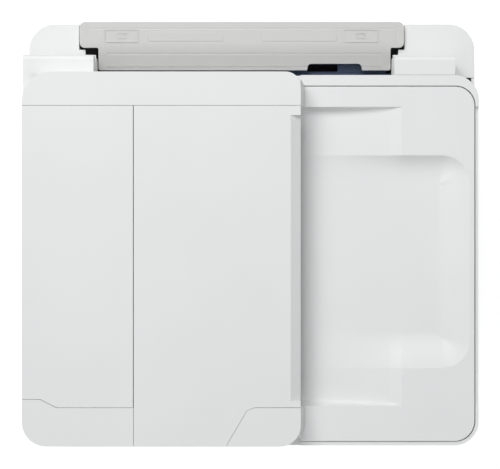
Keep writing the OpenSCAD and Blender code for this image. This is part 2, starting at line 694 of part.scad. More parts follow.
module output_tray() {
  w = output_w / 2;
  y = [yb + 1, yb + output_l];
  z = output_z;
  color("#dcdddd") difference() {
    union() {
      block([-w, w], y, [z, z + output_t]);
      block([-w, w], [y[0] - 1, y[0] + 3], [z, z + 12]);
    }
    block([-w / 2 - seam, w / 2 + seam], [y[0] - 2, y[0] + extension_travel + 30],
        [z + 1.2, z + output_t - 1.2]);
    for (i = [-4:4]) block([i * w / 5 - 1, i * w / 5 + 1], [y[0] + 10, y[1] - 10],
                           [z + output_t - 0.6, z + output_t + 1]);
    translate([0, y[0] - 26, z + output_t]) cylinder(h = 20, r = 40);
  }
}

// Thin plate that pulls out of the output tray's front edge.
module output_extension() {
  w = output_w / 4;
  y = [yb, yb + extension_travel + 28];
  z = output_z + 1.2 + seat;
  t = output_t - 2.4 - 2 * seat;
  color("#dcdddd") difference() {
    block([-w, w], y, [z, z + t]);
    for (s = [-1, 1]) block([s * w / 2 - 9, s * w / 2 + 9], [y[0] + 12, y[1] - 12], [z - 1, z + t + 1], 4);
  }
}

// ---- Operation panel --------------------------------------------------------

module operation_panel() {
  w = panel_w / 2;
  z = [panel_z1 - panel_h, panel_z1];
  y = [yb, yb + panel_t];
  color("whitesmoke") difference() {
    union() {
      block([-w, w], y, z);
      bar_x([-w - 2.2, w + 2.2], panel_pin_y, panel_pin_z, 1.6);
    }
    block([-display_w / 2 - seat, display_w / 2 + seat], [y[0] - 1, y[0] + 2.6], [z[0] + 7, z[1] - 7]);
    for (x = button_x) bar_y(x, [y[0] - 1, y[0] + 4.2 + button_travel],
        (z[0] + z[1]) / 2, button_d / 2 + 0.25);
    block([-w + 12, w - 12], [y[0] + panel_t - 3, y[1] + 1], [z[0] + 3, z[1] - 10]);
    block([-w + 20, w - 20], [y[0] + 3, y[1] + 1], [z[0] - 1, z[0] + 2]);
  }
}

module display_window() {
  z = [panel_z1 - panel_h, panel_z1];
  color("#15171b") block([-display_w / 2, display_w / 2], [yb + 0.2, yb + 2.4],
      [z[0] + 7 + seat, z[1] - 7 - seat]);
}

// Round button that stands a little out of the panel.
module panel_button(x, tone) {
  z = panel_z1 - panel_h / 2;
  color(tone) difference() {
    bar_y(x, [yb - 0.6, yb + 4], z, button_d / 2);
    translate([x, yb - 14.4, z]) sphere(r = 14, $fn = 64);
  }
}

module power_button() { panel_button(button_x[0], "gainsboro"); }

module start_button() { panel_button(button_x[1], "#5c6f86"); }

// ---- Rear tray ----------------------------------------------------------------

module rear_tray_cover() {
  x = [cover_x - cover_w / 2, cover_x + cover_w / 2];
  y = [yr + cover_lip - cover_d, yr + cover_lip];
  split = y[1] - 21.7;
  z = [cover_z, cover_z + cover_t];
  color([0.8, 0.8, 0.79, 0.8]) {
    difference() {
      union() {
        block(x, [split, y[1]], z, 4);
        block(cover_front_x, [y[0], split + 5], z, 2);
        block([x[0] + 3, x[1] - 3], [y[1] - 2, y[1]], [zb - 12, z[0] + 0.5]);
        for (s = [0, 1]) {
          arm = s > 0 ? [x[1] - 4, x[1]] : [x[0], x[0] + 4];
          block(arm, [cover_pin_y - 3.5, cover_pin_y + 3.5], [cover_pin_z, z[0] + 0.5]);
          bar_x(arm, cover_pin_y, cover_pin_z, 3.5);
        }
        bar_x([x[0] - 3.4, x[0] + 1], cover_pin_y, cover_pin_z, 1.8);
        bar_x([x[1] - 1, x[1] + 3.4], cover_pin_y, cover_pin_z, 1.8);
        for (e = [[x[0] + 20, x[0] + 22], [x[1] - 22, x[1] - 20]]) {
          block(e, [y[0] + 6, y[1] - 6], [z[0] - 3.6, z[0] + 0.5]);
          block([e[0] - 1, e[1] + 1], [y[0] + 6, y[1] - 6], [z[0] - 4.4, z[0] - 3.4]);
        }
      }
      block([46.6, 93], [y[0] - 1, y[0] + 5.5], [z[0] - 1, z[1] + 1], [0, 0, 3, 3]);
      block([x[0] + 60, cover_x - 12], [split + 2, y[1] - 8], [z[1] - 0.8, z[1] + 1], 2);
      block([cover_x + 12, x[1] - 60], [split + 2, y[1] - 8], [z[1] - 0.8, z[1] + 1], 2);
    }
  }
}

// Plate that slides out of the cover, between its two rails.
module paper_support() {
  x = [cover_x - cover_w / 2 + 22 + 1 + seat, cover_x + cover_w / 2 - 22 - 1 - seat];
  y = [yr + cover_lip - cover_d + 8, yr + cover_lip - 6];
  z = [cover_z - 3, cover_z - seat];
  color([0.87, 0.87, 0.86, 0.9]) difference() {
    block(x, y, z, 2);
    for (c = [0.24, 0.76] * (x[1] - x[0])) block([x[0] + c - 25, x[0] + c + 25], [y[0] + 8, y[1] - 6],
                                                 [z[0] - 1, z[1] + 1], 3);
  }
}

module feed_slot_cover() {
  x = flap_x;
  pitch = (x[1] - x[0]) / 6;
  color("#223d5c") {
    block(x, [flap_y - 1.5, flap_y + flap_d], [flap_z - 0.9, flap_z + 0.9]);
    bar_x(x, flap_y, flap_z, 1.6);
    bar_x([slot_x[0] - 1, slot_x[1] + 1], flap_y, flap_z, 1);
    for (i = [0:5]) block([x[0] + (i + 0.5) * pitch - 1, x[0] + (i + 0.5) * pitch + 1],
                          [flap_y + 3, flap_y + flap_d], [flap_z, flap_z + 2]);
  }
}

// Paper guide that stands on the sloping bed.
module rear_guide(x) {
  y = [ys - 5, ys + 16];
  rise = (recess_z - feed_z - 8) / (yr - 24 - ys + 10);
  function bed(v) = feed_z + 8 + (v - ys + 10) * rise + 0.4;
  color("#223d5c") along_x(x) polygon([[y[0], bed(y[0])], [y[1], bed(y[1])], [y[1], flap_z - 2.5],
                                       [ys + 3, flap_z - 2.5], [y[0], bed(y[0]) + 10]]);
}

module rear_guide_left() { rear_guide([cover_x - guide_x - 3, cover_x - guide_x]); }

module rear_guide_right() { rear_guide([cover_x + guide_x, cover_x + guide_x + 3]); }

// Cover in the rear wall, over the turn of the paper path.
module rear_jam_cover() {
  w = jam_w / 2;
  pitch = (jam_w - 28) / 8;                     // of the ribs inside
  y = [yr - wall, yr];
  color("#e4e5e6") difference() {
    union() {
      block([-w, w], y, jam_z);
      bar_x([-w, w], yr - wall - 0.5, jam_z[0] + 3, 3);
      for (i = [-4:4]) block([i * pitch - 1, i * pitch + 1], [y[0] - 8, y[0] + 0.5], [jam_z[0] + 14, jam_z[1] - 8]);
    }
    bar_x([-w - 1, w + 1], yr - wall - 0.5, jam_z[0] + 3, 1.5 + run_gap);
    for (s = [-1, 1]) block([s * 60 - 14, s * 60 + 14], [yr - 1.4, yr + 1], [jam_z[1] - 12, jam_z[1] - 4], 3);
  }
}

// ---- Scanner unit --------------------------------------------------------------

module scanner_block(b) {
  c = (b[0] + b[1]) / 2;
  difference() {
    union() {
      along_x(b) {
        translate([hinge_y, base_pin_z]) circle(block_y - hinge_y);
        translate([ys - 1.5, z0 + 0.4]) square([hinge_y - ys + 1.5, base_pin_z - z0 - 0.4]);
        translate([ys - 1.5, base_pin_z]) square([block_y - ys + 1.5, lid_pin_z - 8.5 - base_pin_z]);
      }
      along_x([b[0] + 6, b[1] - 6]) {
        translate([hinge_y, lid_pin_z]) circle(barrel_r);
        translate([hinge_y - 5, lid_pin_z - 9]) square([6, 9]);
      }
    }
    block([c - bracket_t / 2 - 0.4, c + bracket_t / 2 + 0.4], [ys, block_y + 1], [z0 - 1, base_pin_z + 7]);
    bar_x([b[0] + 3, b[1] - 3], hinge_y, base_pin_z, pin_r);
    bar_x([b[0], b[1]], hinge_y, lid_pin_z, pin_r);
  }
}

module scanner_case() {
  color("whitesmoke") {
    difference() {
      block([-hw, hw], [yf, ys], [z0, zs - frame_h], corner_r - 2);
      block([-hw + wall, hw - wall], [yf + wall, ys - wall], [z0 + wall, zs], corner_r - 2 - wall);
      for (s = [-1, 1]) block([s * 90 - 34, s * 90 + 34], [yf - 1, yf + 1.4], [z0 - 1, z0 + 8]);
      bar_x([-hw + 1, hw - 1], glass_y, scan_rail_z, scan_rail_r);
    }
    for (e = [[-hw + wall, -hw + wall + 5], [hw - wall - 5, hw - wall]]) difference() {
      block(e, [glass_y - 7, glass_y + 7], [z0 + wall, scan_rail_z + 6]);
      bar_x([-hw + 1, hw - 1], glass_y, scan_rail_z, scan_rail_r);
    }
    for (y = [glass_y - 100, glass_y + 100])
      block([-hw + wall, hw - wall], [y - 1, y + 1], [z0 + wall, z0 + wall + 2]);
    scanner_block(block_l);
    scanner_block(block_r);
  }
}

module glass_openings(grow, z) {
  block([strip_x[0] - grow, strip_x[1] + grow],
      [glass_y - glass_w / 2 - grow, glass_y + glass_w / 2 + grow], z);
  block([bed_x[0] - grow, bed_x[1] + grow], [glass_y - glass_w / 2 - grow, glass_y + glass_w / 2 + grow], z);
}

module scanner_top_frame() {
  color("#eeeeef") difference() {
    block([-hw, hw], [yf, ys], [zs - frame_h, zs], corner_r - 2);
    glass_openings(-2, [zs - frame_h - 1, zs + 1]);
    glass_openings(0, [zs - frame_h - 1, glass_top]);
    block([bed_x[1] + 4, bed_x[1] + 6], [glass_y - 90, glass_y + 90], [zs - 0.5, zs + 1]);
  }
}

module scanner_glass() {
  color([0.75, 0.85, 0.88, 0.35]) glass_openings(-seat, [glass_top - glass_t, glass_top]);
}

module scan_rail() {
  color("silver") bar_x([-hw + 1.2, hw - 1.2], glass_y, scan_rail_z, scan_rail_r);
}

// Scan head: a long bar with a lens slit, on a carrier that slides on the rail.
module scan_carriage() {
  z = [z0 + 6.5, glass_top - glass_t - 1];
  w = glass_w / 2 + 5;
  color("#202124") difference() {
    union() {
      block([scan_home - 8, scan_home + 8], [glass_y - w, glass_y + w], [z[1] - 11, z[1]], 1.5);
      block([scan_home - 8, scan_home + 8], [glass_y - 18, glass_y + 18], [z0 + 5, z[1] - 10.5]);
      for (y = [glass_y - 100, glass_y + 100])
        block([scan_home - 6, scan_home + 6], [y - 4, y + 4], [z0 + wall + 2 + seat, z[1] - 10.5]);
    }
    bar_x([scan_home - 9, scan_home + 9], glass_y, scan_rail_z, scan_rail_r + run_gap);
    block([scan_home - 1.5, scan_home + 1.5], [glass_y - w + 5, glass_y + w - 5], [z[1] - 1.5, z[1] + 1]);
  }
}

module hinge_pins() {
  color("silver") for (b = [block_l, block_r]) {
    bar_x([b[0] + 3, b[1] - 3], hinge_y, base_pin_z, pin_r);
    bar_x([b[0] + 1.5, b[1] - 1.5], hinge_y, lid_pin_z, pin_r);
  }
}

// ---- Document cover ------------------------------------------------------------

// Upper half of a hinge block, with cheeks beside the scanner's barrel.
module lid_block(b, top, front) {
  difference() {
    union() {
      along_x(b) {
        translate([ys - 3, lid_pin_z + 1.2]) square([block_y - ys + 3, lid_floor - lid_pin_z - 1.2]);
        translate([front, lid_floor - 0.1]) square([block_y - front, top - lid_floor - 4]);
        translate([front, lid_floor]) square([block_y - front - 4, top - lid_floor]);
        translate([block_y - 4.1, top - 4.1]) circle(4.1);
      }
      for (e = [[b[0], b[0] + 5.6], [b[1] - 5.6, b[1]]])
        along_x(e) translate([hinge_y, lid_pin_z]) circle(7);
    }
    bar_x([b[0] + 5.6, b[1] - 5.6], hinge_y, lid_pin_z, barrel_r + 0.4);
    bar_x([b[0] + 1, b[1] - 1], hinge_y, lid_pin_z, pin_r + run_gap);
  }
}

module lid_case() {
  color("whitesmoke") {
    difference() {
      block(lid_x, lid_y, [z1, zl - 1.4], corner_r - 2);
      block([lid_x[0] - 1, panel_x1 + 0.4], [panel_y0 - 0.4, ys + 1], [lid_floor, zl], [0, 17, 0, 0]);
      block([lid_x[0] - 1, adf_x1 + 0.4], [yf - 1, ys + 1], [lid_floor, zl]);
      block([lid_x[0] - 1, hw], [panel_y1 + 0.2, ys + 1], [lid_floor, zl]);
      block([panel_x1 - 1, hw], [corner_y, cover_y1], [zl - 3, zl]);
      glass_openings(-seat, [z1 - 1, z1 + 0.8]);
    }
    lid_block(block_l, za - 13, adf_y1);
    lid_block(block_r, zl - 0.2, ys + 0.2);
  }
}

// Slope down to the feeder's exit, with steep ends.
module recess_cut() {
  depth_r = (ramp_w * ramp_w + recess_t * recess_t) / (2 * recess_t);
  intersection() {
    bar_y(adf_x1, [corner_y - 5, cover_y1 + 5], zl - recess_t + depth_r, depth_r, $fn = 360);
    along_x([adf_x1 - 2, adf_x1 + ramp_w + 1]) polygon([
      [corner_y + 5, zl - recess_t - 1], [corner_y - 1, zl + 1], [cover_y1 + 1, zl + 1],
          [cover_y1 - 5, zl - recess_t - 1]]);
  }
}

// Hollow for the hand, with a round rise to the lid's edge.
module scoop_cut() {
  x1 = panel_x1 - 4;
  flat = x1 - 26;
  rise_r = (26 * 26 + scoop_t * scoop_t) / (2 * scoop_t);
  y = [cover_y1 - 40 - scoop_l, cover_y1 - 40];
  intersection() {
    union() {
      block([adf_x1 + 2, flat], y, [zl - scoop_t, zl + 1]);
      intersection() {
        bar_y(flat, y, zl - scoop_t + rise_r, rise_r);
        block([flat, x1], y, [zl - scoop_t, zl + 1]);
      }
    }
    along_x([adf_x1, x1]) polygon([[y[0] + 16, zl - scoop_t - 1], [y[0] + 5, zl - scoop_t / 2],
        [y[0], zl + 0.1],
                                   [y[0], zl + 2], [y[1], zl + 2], [y[1] - 1, zl],
                                       [y[1] - 4, zl - scoop_t - 1]]);
    block([adf_x1, x1], y, [zl - recess_t - 1, zl + 1], [0, scoop_r, scoop_r, 0]);
  }
}

module lid_top_panel() {
  color("whitesmoke") difference() {
    block([adf_x1 + 0.4, panel_x1], [panel_y0, panel_y1], [lid_floor, zl], [0, 17, 16, 0]);
    recess_cut();
    scoop_cut();
    block([adf_x1 + ramp_w + 2, panel_x1 - 6], [panel_y0 + 6, corner_y - 8], [lid_floor - 1, zl - 3]);
    block([adf_x1 + 6, panel_x1 - 20], [cover_y1 + 4, panel_y1 - 3], [lid_floor - 1, zl - 3]);
  }
}

module lid_rear_cover() {
  color("whitesmoke") difference() {
    block([adf_x1 + 0.4, hw - 1], [panel_y1 + 0.5, ys], [lid_floor, zl], [0, 0, 16, 0]);
    block([adf_x1 + 5, hw - 24], [panel_y1 + 3, ys - 2.4], [lid_floor - 1, zl - 2.4]);
  }
}

module platen_pad() {
  color("#f7f7f5") glass_openings(-3, [glass_top + seat, z1 + 0.8]);
}

// ---- Document feeder -----------------------------------------------------------

module adf_plan(inset = 0) {
  plan([adf_x0 + inset, adf_x1 - inset], [adf_yf + inset, adf_y1 - inset],
       [20 - inset, 17 - inset, 12.5 - inset, 24 - inset]);
}

// Plan of the feeder cover; its front seam steps forward beside the fixed corner.
module feeder_plan(gap) {
  polygon([[adf_x0 - 1, cover_y1 - gap], [feeder_x1 - gap, cover_y1 - gap], [feeder_x1 - gap, corner_y + gap],
           [adf_x0 + 28 + gap, corner_y + gap], [adf_x0 + 15 + gap / 2, corner_y + 6.7 + gap],
           [adf_x0 - 1, corner_y + 6.7 + gap]]);
}

// Plan of the document tray; it reaches the front edge beside the other fixed corner.
module tray_plan(gap) {
  polygon([[feeder_x1 + gap, cover_y1 - gap], [adf_x1 + 1, cover_y1 - gap], [adf_x1 + 1, corner_y + gap],
           [adf_x1 - 37.4 - gap / 2, corner_y + gap], [adf_x1 - 43.6 - gap, corner_y - 2.1],
           [adf_x1 - 59.8 - gap, adf_yf + 2], [adf_x1 - 59.8 - gap, adf_yf - 1],
               [feeder_x1 + gap, adf_yf - 1]]);
}

// Flared foot of the feeder's right wall, behind or in front of the document tray.
module adf_flare(y) {
  intersection() {
    along_y(y) polygon([[adf_x1 - 1.5, zl + seat], [adf_x1 + flare, zl + seat],
        [adf_x1 + flare - 0.6, zl + 4],
                        [adf_x1, za - 4], [adf_x1 - 1.5, za - 4]]);
    block([adf_x1 - 60, adf_x1 + flare], [adf_yf, adf_y1], [zl, za], [0, 19, 16, 0]);
  }
}

module adf_case() {
  color("whitesmoke") for (y = [[adf_yf, corner_y], [cover_y1, adf_y1]]) adf_flare(y);
  color("whitesmoke") difference() {
    translate([0, 0, lid_floor]) linear_extrude(za - lid_floor) adf_plan();
    block([adf_x0 + wall, adf_x1 - wall], [adf_yf + wall, cover_y1], [lid_floor - 1, za - skin - 1],
        [12, 12, 0, 0]);
    translate([0, 0, za - skin - 2]) linear_extrude(skin + 3) intersection() {
      tray_plan(0);
      plan([adf_x0 + wall, adf_x1 - wall], [adf_yf + wall, cover_y1], 0);
    }
    block([adf_x0 + wall + 4, adf_x1 - wall], [cover_y1 + wall, adf_y1 - wall],
        [lid_floor - 1, za - wall], 8);
    translate([0, 0, za - feeder_wall_h - seam]) linear_extrude(feeder_wall_h + seam + 1) feeder_plan(0);
    bar_y(feeder_pin[0], [corner_y + 6.7, cover_y1], feeder_pin[1], 7);
    translate([0, 0, za - skin - seam / 2]) linear_extrude(skin + 1) tray_plan(0);
    block([adf_x1 - 10.6, adf_x1 + 1], [corner_y, cover_y1], [tray_pin[1] - 7, za + 1]);
    block([adf_x1 - wall - 1, adf_x1 + 1], exit_y, [lid_floor - 1, lid_floor + 13]);
    bar_y(feeder_pin[0], [corner_y + 2, cover_y1 + 5], feeder_pin[1], 1.5 + run_gap);
    bar_y(tray_pin[0], [corner_y - 5, cover_y1 + 5], tray_pin[1], 1.5 + run_gap);
  }
}

// Bed that the originals lie on, with the cheeks that carry the rollers.
module adf_bed() {
  y = [adf_yf + wall + seat, cover_y1 - seat];
  cheek_x = [adf_x0 + 14, feeder_x1 + 6];
  color("#e9eaeb") difference() {
    union() {
      block([feeder_x1 - 4, adf_x1 - wall - seat], y, [bed_z - 2.4, bed_z], [0, 12.5, 0, 0]);
      for (s = [-1, 1]) along_y([glass_y + s * cheek_y - 1.5, glass_y + s * cheek_y + 1.5])
        polygon([[cheek_x[0], lid_floor], [cheek_x[1], lid_floor], [cheek_x[1], bed_z - 2.4],
            [feeder_x1 - 4, bed_z],
                 [adf_pick[0] + 6, adf_pick[1] + 5], [adf_pick[0] - 6, adf_pick[1] + 5],
                     [cheek_x[0], lid_floor + 14]]);
      along_y([glass_y - cheek_y - 1.5, glass_y + cheek_y + 1.5])
        polygon([[feeder_x1 - 22, lid_floor + 13.2], [feeder_x1 - 4, bed_z - 2.4], [feeder_x1 - 4, bed_z],
                 [feeder_x1 - 24, lid_floor + 15]]);
      block([adf_x1 - 16, adf_x1 - 13], [y[0] + 4, y[1] - 4], [lid_floor + 13.3, bed_z - 2.4]);
    }
    bar_y(adf_pick[0], [glass_y - cheek_y - 2, glass_y + cheek_y + 2], adf_pick[1], 2 + run_gap);
    bar_y(adf_exit[0], [glass_y - cheek_y - 2, glass_y + cheek_y + 2], adf_exit[1], 2 + run_gap);
    for (s = [-1, 1]) block([feeder_x1 + 55, feeder_x1 + 57],
                            s > 0 ? [glass_y + 20, glass_y + guide_y + 3] : [glass_y - guide_y - 3, glass_y - 20],
                            [bed_z - 1, bed_z + 1]);
  }
}

module feeder_cover() {
  z = [za - feeder_wall_h, za];
  color("whitesmoke") {
    difference() {
      intersection() {
        translate([0, 0, z[0]]) linear_extrude(feeder_wall_h) adf_plan();
        translate([0, 0, z[0]]) linear_extrude(feeder_wall_h) feeder_plan(seam / 2);
      }
      difference() {
        translate([0, 0, z[0] - 1]) linear_extrude(feeder_wall_h + 1 - skin) adf_plan(skin);
        bar_y(feeder_pin[0], [corner_y + 8, cover_y1 - 1], feeder_pin[1], 2.8);
      }
      translate([adf_x0 + 28, corner_y, za]) rotate(atan2(6.7, -13)) along_x([-3, 17.6])
        polygon([[-3.1, -skin - 0.1], [-0.3, -0.05], [1, -0.05], [1, -skin - 0.1]]);
    }
    for (i = [0:7]) block([adf_x0 + 12, feeder_x1 - 20], [glass_y - 106 + i * 30, glass_y - 104 + i * 30],
                          [za - skin - 2, za - skin]);
    bar_y(feeder_pin[0], [corner_y + 3, corner_y + 9], feeder_pin[1], 1.5);
    bar_y(feeder_pin[0], [cover_y1 - 2, cover_y1 + 4], feeder_pin[1], 1.5);
  }
}

module document_tray() {
  z = [za - skin, za];
  color("whitesmoke") {
    difference() {
      union() {
        intersection() {
          translate([0, 0, z[0]]) linear_extrude(skin) adf_plan();
          translate([0, 0, z[0]]) linear_extrude(skin) tray_plan(seam / 2);
        }
        block([adf_x1 - skin, adf_x1], [corner_y + seam / 2, cover_y1 - seam / 2], [za - 8.4, za]);
        block([adf_x1 - 6.3, adf_x1 - skin + 0.5], [corner_y + seam / 2, cover_y1 - seam / 2],
            [tray_pin[1] - 2.4, za - skin + 0.5]);
      }
      along_y([corner_y + 5, cover_y1 - 8])
        polygon([[adf_x1 - 8.2, za + 0.1], [adf_x1 + 1, za - 1.7], [adf_x1 + 1, za + 1]]);
    }
    bar_y(tray_pin[0], [corner_y - 4, corner_y + 3], tray_pin[1], 1.5);
    bar_y(tray_pin[0], [cover_y1 - 3, cover_y1 + 4], tray_pin[1], 1.5);
    for (i = [0:6]) block([feeder_x1 + 14, adf_x1 - 14], [glass_y - 104 + i * 34, glass_y - 102.4 + i * 34],
                          [za - skin - 1, za - skin]);
  }
}

// Fence on the bed: -1 is the front one, 1 the rear one.
module document_guide(s) {
  y = glass_y + s * guide_y;
  z = bed_z + seat;
  color("#dcdddf") {
    block([feeder_x1 + 22, feeder_x1 + 92], s > 0 ? [y, y + 2] : [y - 2, y], [z, za - skin - 2], 0);
    block([feeder_x1 + 40, feeder_x1 + 72], s > 0 ? [y - 12, y + 1] : [y - 1, y + 12], [z, z + 1.2]);
  }
}

module document_guide_front() { document_guide(-1); }

module document_guide_rear() { document_guide(1); }

// Roller on a shaft along Y between the bed's cheeks.
module adf_roller(at, r, offsets, half) {
  color("#c8cacc") bar_y(at[0], [glass_y - cheek_y - 1, glass_y + cheek_y + 1], at[1], 2);
  color("#4a4b4f") for (d = offsets) bar_y(at[0], [glass_y + d - half, glass_y + d + half], at[1], r);
}

module adf_pickup_roller() { adf_roller(adf_pick, 6, [0], 20); }

module adf_exit_roller() { adf_roller(adf_exit, 5, [-66, -22, 22, 66], 9); }

base_case();
rear_deck();
rubber_feet();
main_frame();
carriage_rail();
platen();
timing_belt();
drive_motors();
purge_unit();
power_supply();
logic_board();
rear_sockets();
output_deck();
rear_feed_frame();
hinge_brackets();
motor_pulley();
idler_pulley();
motor_pinion();
print_carriage();
ink_cartridges();
feed_roller();
pinch_roller();
idler_gear();
eject_roller();
rear_pickup_roller();
cassette_pickup_roller();
cassette();
cassette_guide_left();
cassette_guide_right();
cassette_end_guide();
output_tray();
output_extension();
operation_panel();
display_window();
power_button();
start_button();
rear_tray_cover();
paper_support();
feed_slot_cover();
rear_guide_left();
rear_guide_right();
rear_jam_cover();
scanner_case();
scanner_top_frame();
scanner_glass();
scan_rail();
scan_carriage();
hinge_pins();
lid_case();
lid_top_panel();
lid_rear_cover();
platen_pad();
adf_case();
adf_bed();
feeder_cover();
document_tray();
document_guide_front();
document_guide_rear();
adf_pickup_roller();
adf_exit_roller();
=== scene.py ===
"""Studio scene of a compact inkjet printer with an automatic document feeder.

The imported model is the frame. The classes below model the pieces that are seen most with Blender's operators,
round the edges of the other mouldings as far as their shortest edges let them, and give every piece a procedural
finish.
"""

import json
import logging
import math
from dataclasses import dataclass
from enum import Enum
from typing import Callable, Iterable, Sequence

import bpy
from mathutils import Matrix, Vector

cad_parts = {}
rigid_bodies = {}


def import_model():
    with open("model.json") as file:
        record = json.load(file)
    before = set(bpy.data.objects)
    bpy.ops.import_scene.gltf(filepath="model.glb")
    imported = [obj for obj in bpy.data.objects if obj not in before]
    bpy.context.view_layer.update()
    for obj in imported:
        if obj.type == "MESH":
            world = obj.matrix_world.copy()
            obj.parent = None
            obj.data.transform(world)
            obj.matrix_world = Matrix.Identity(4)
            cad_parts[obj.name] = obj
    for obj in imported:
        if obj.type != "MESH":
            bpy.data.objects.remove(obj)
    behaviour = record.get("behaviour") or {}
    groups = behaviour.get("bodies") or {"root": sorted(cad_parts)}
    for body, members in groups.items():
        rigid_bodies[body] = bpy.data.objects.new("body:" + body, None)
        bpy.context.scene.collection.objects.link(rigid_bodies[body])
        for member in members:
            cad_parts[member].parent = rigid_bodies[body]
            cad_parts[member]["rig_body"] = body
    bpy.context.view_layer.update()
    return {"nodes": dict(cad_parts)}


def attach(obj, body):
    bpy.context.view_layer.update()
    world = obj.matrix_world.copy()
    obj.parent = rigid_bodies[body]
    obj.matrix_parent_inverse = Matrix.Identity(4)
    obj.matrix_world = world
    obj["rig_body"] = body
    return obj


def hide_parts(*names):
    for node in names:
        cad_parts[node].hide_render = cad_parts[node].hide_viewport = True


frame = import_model()

LOG = logging.getLogger("printer")
MM = 0.001
Point = tuple[float, float]
Span = tuple[float, float]
Triple = tuple[float, float, float]
Colour = Triple
Piece = bpy.types.Object
Tree = bpy.types.NodeTree
Socket = bpy.types.NodeSocket
Test = Callable[[Vector, Vector], bool]


class Slot(Enum):
    """Material slots of the record."""

    WHITE = "white_shell"
    GREY = "grey_shell"
    TRANSLUCENT = "translucent_grey"
    NAVY = "navy_plastic"
    DARK = "dark_plastic"
    RUBBER = "rubber_dark"
    SHEET = "sheet_metal"
    STEEL = "polished_steel"
    BRASS = "brass_gear"
    GEAR = "gear_plastic"
    BOARD = "circuit_board"
    GLASS = "clear_glass"
    DISPLAY = "display_black"
    FOAM = "white_foam"


# ---- Finishes --------------------------------------------------------------------------------------------

# What the finishes share: the part of a noise that the tone follows, how far the grain changes the roughness,
# how high the grain stands, and the detail of its noise.
TONE_RANGE = (0.3, 0.7)
GLOSS_SWING = 0.06
RELIEF_HEIGHT = 0.4 * MM
GRAIN_DETAIL = 2.0


@dataclass(frozen=True)
class Finish:
    """A moulded plastic: a slow change of tone, a fine eroded grain and a roughness that follows it.

    Scales are per metre. The tone is the share by which the colour grows lighter and darker.
    """

    slot: Slot
    colour: Colour
    roughness: float
    tone: float
    stain: float = 14.0
    stain_detail: float = 3.0
    grain: float = 1900.0
    bump: float = 0.06
    metallic: float = 0.0

    def shade(self, factor: float) -> tuple[float, ...]:
        """The finish's colour times a factor, with full alpha."""
        return tuple(min(1.0, part * factor) for part in self.colour) + (1.0,)

    def pattern(self, tree: Tree, place: Socket) -> tuple[Socket, Socket]:
        """Nodes of the pattern.

        Args:
            tree: The material's node tree.
            place: The coordinates' socket.

        Returns:
            The sockets of the tone and of the height, both about 0 to 1.
        """
        tone = self.noise(tree, place, self.stain, self.stain_detail)
        return tone, self.noise(tree, place, self.grain, GRAIN_DETAIL)

    @staticmethod
    def noise(tree: Tree, place: Socket, scale: float, detail: float) -> Socket:
        """Adds a noise texture.

        Args:
            tree: The material's node tree.
            place: The coordinates' socket.
            scale: Its scale per metre.
            detail: Its detail.

        Returns:
            The socket of its factor.
        """
        node = tree.nodes.new("ShaderNodeTexNoise")
        node.inputs["Scale"].default_value = scale
        node.inputs["Detail"].default_value = detail
        tree.links.new(place, node.inputs["Vector"])
        return node.outputs["Fac"]

    def surface(self, shader: bpy.types.ShaderNode) -> None:
        """Sets the sockets that are the same all over the surface."""
        shader.inputs["Metallic"].default_value = self.metallic

    def build(self) -> bpy.types.Material:
        """Builds the finish.

        Returns:
            Its node material.
        """
        material = bpy.data.materials.new(self.slot.value)
        material.use_nodes = True
        tree = material.node_tree
        shader = tree.nodes["Principled BSDF"]
        tone, height = self.pattern(tree, tree.nodes.new("ShaderNodeTexCoord").outputs["Object"])
        ramp = tree.nodes.new("ShaderNodeValToRGB")
        factors = (1 - self.tone, 1 + self.tone)
        for stop, position, factor in zip(ramp.color_ramp.elements, TONE_RANGE, factors):
            stop.position, stop.color = position, self.shade(factor)
        tree.links.new(tone, ramp.inputs["Fac"])
        tree.links.new(ramp.outputs["Color"], shader.inputs["Base Color"])
        matt = tree.nodes.new("ShaderNodeMapRange")
        matt.inputs["To Min"].default_value = self.roughness - GLOSS_SWING
        matt.inputs["To Max"].default_value = self.roughness + GLOSS_SWING
        tree.links.new(height, matt.inputs["Value"])
        tree.links.new(matt.outputs["Result"], shader.inputs["Roughness"])
        relief = tree.nodes.new("ShaderNodeBump")
        relief.inputs["Strength"].default_value = self.bump
        relief.inputs["Distance"].default_value = RELIEF_HEIGHT
        tree.links.new(height, relief.inputs["Height"])
        tree.links.new(relief.outputs["Normal"], shader.inputs["Normal"])
        self.surface(shader)
        return material


@dataclass(frozen=True)
class BrushedMetal(Finish):
    """Rolled or ground metal, with fine lines along X."""

    stain: float = 30.0
    stain_detail: float = 4.0
    metallic: float = 1.0
    lines: float = 60.0

    def pattern(self, tree: Tree, place: Socket) -> tuple[Socket, Socket]:
        """A slow stain and drawn-out lines.

        Args:
            tree: The material's node tree.
            place: The coordinates' socket.

        Returns:
            The sockets of the tone and of the height.
        """
        stretch = tree.nodes.new("ShaderNodeMapping")
        stretch.inputs["Scale"].default_value = (self.lines, self.grain, self.grain)
        tree.links.new(place, stretch.inputs["Vector"])
        drawn = self.noise(tree, stretch.outputs["Vector"], 1.0, GRAIN_DETAIL)
        return self.noise(tree, place, self.stain, self.stain_detail), drawn


@dataclass(frozen=True)
class PrintedBoard(Finish):
    """A circuit board, with its tracks as a fine lighter grid."""

    track: float = 520.0

    def pattern(self, tree: Tree, place: Socket) -> tuple[Socket, Socket]:
        """Tracks from a brick pattern, over a fine weave.

        Args:
            tree: The material's node tree.
            place: The coordinates' socket.

        Returns:
            The sockets of the tone and of the height.
        """
        brick = tree.nodes.new("ShaderNodeTexBrick")
        brick.inputs["Scale"].default_value = self.track
        brick.inputs["Color1"].default_value = (1, 1, 1, 1)
        brick.inputs["Color2"].default_value = (0.4, 0.4, 0.4, 1)
        brick.inputs["Mortar"].default_value = (0, 0, 0, 1)
        tree.links.new(place, brick.inputs["Vector"])
        return brick.outputs["Color"], self.noise(tree, place, self.grain, GRAIN_DETAIL)


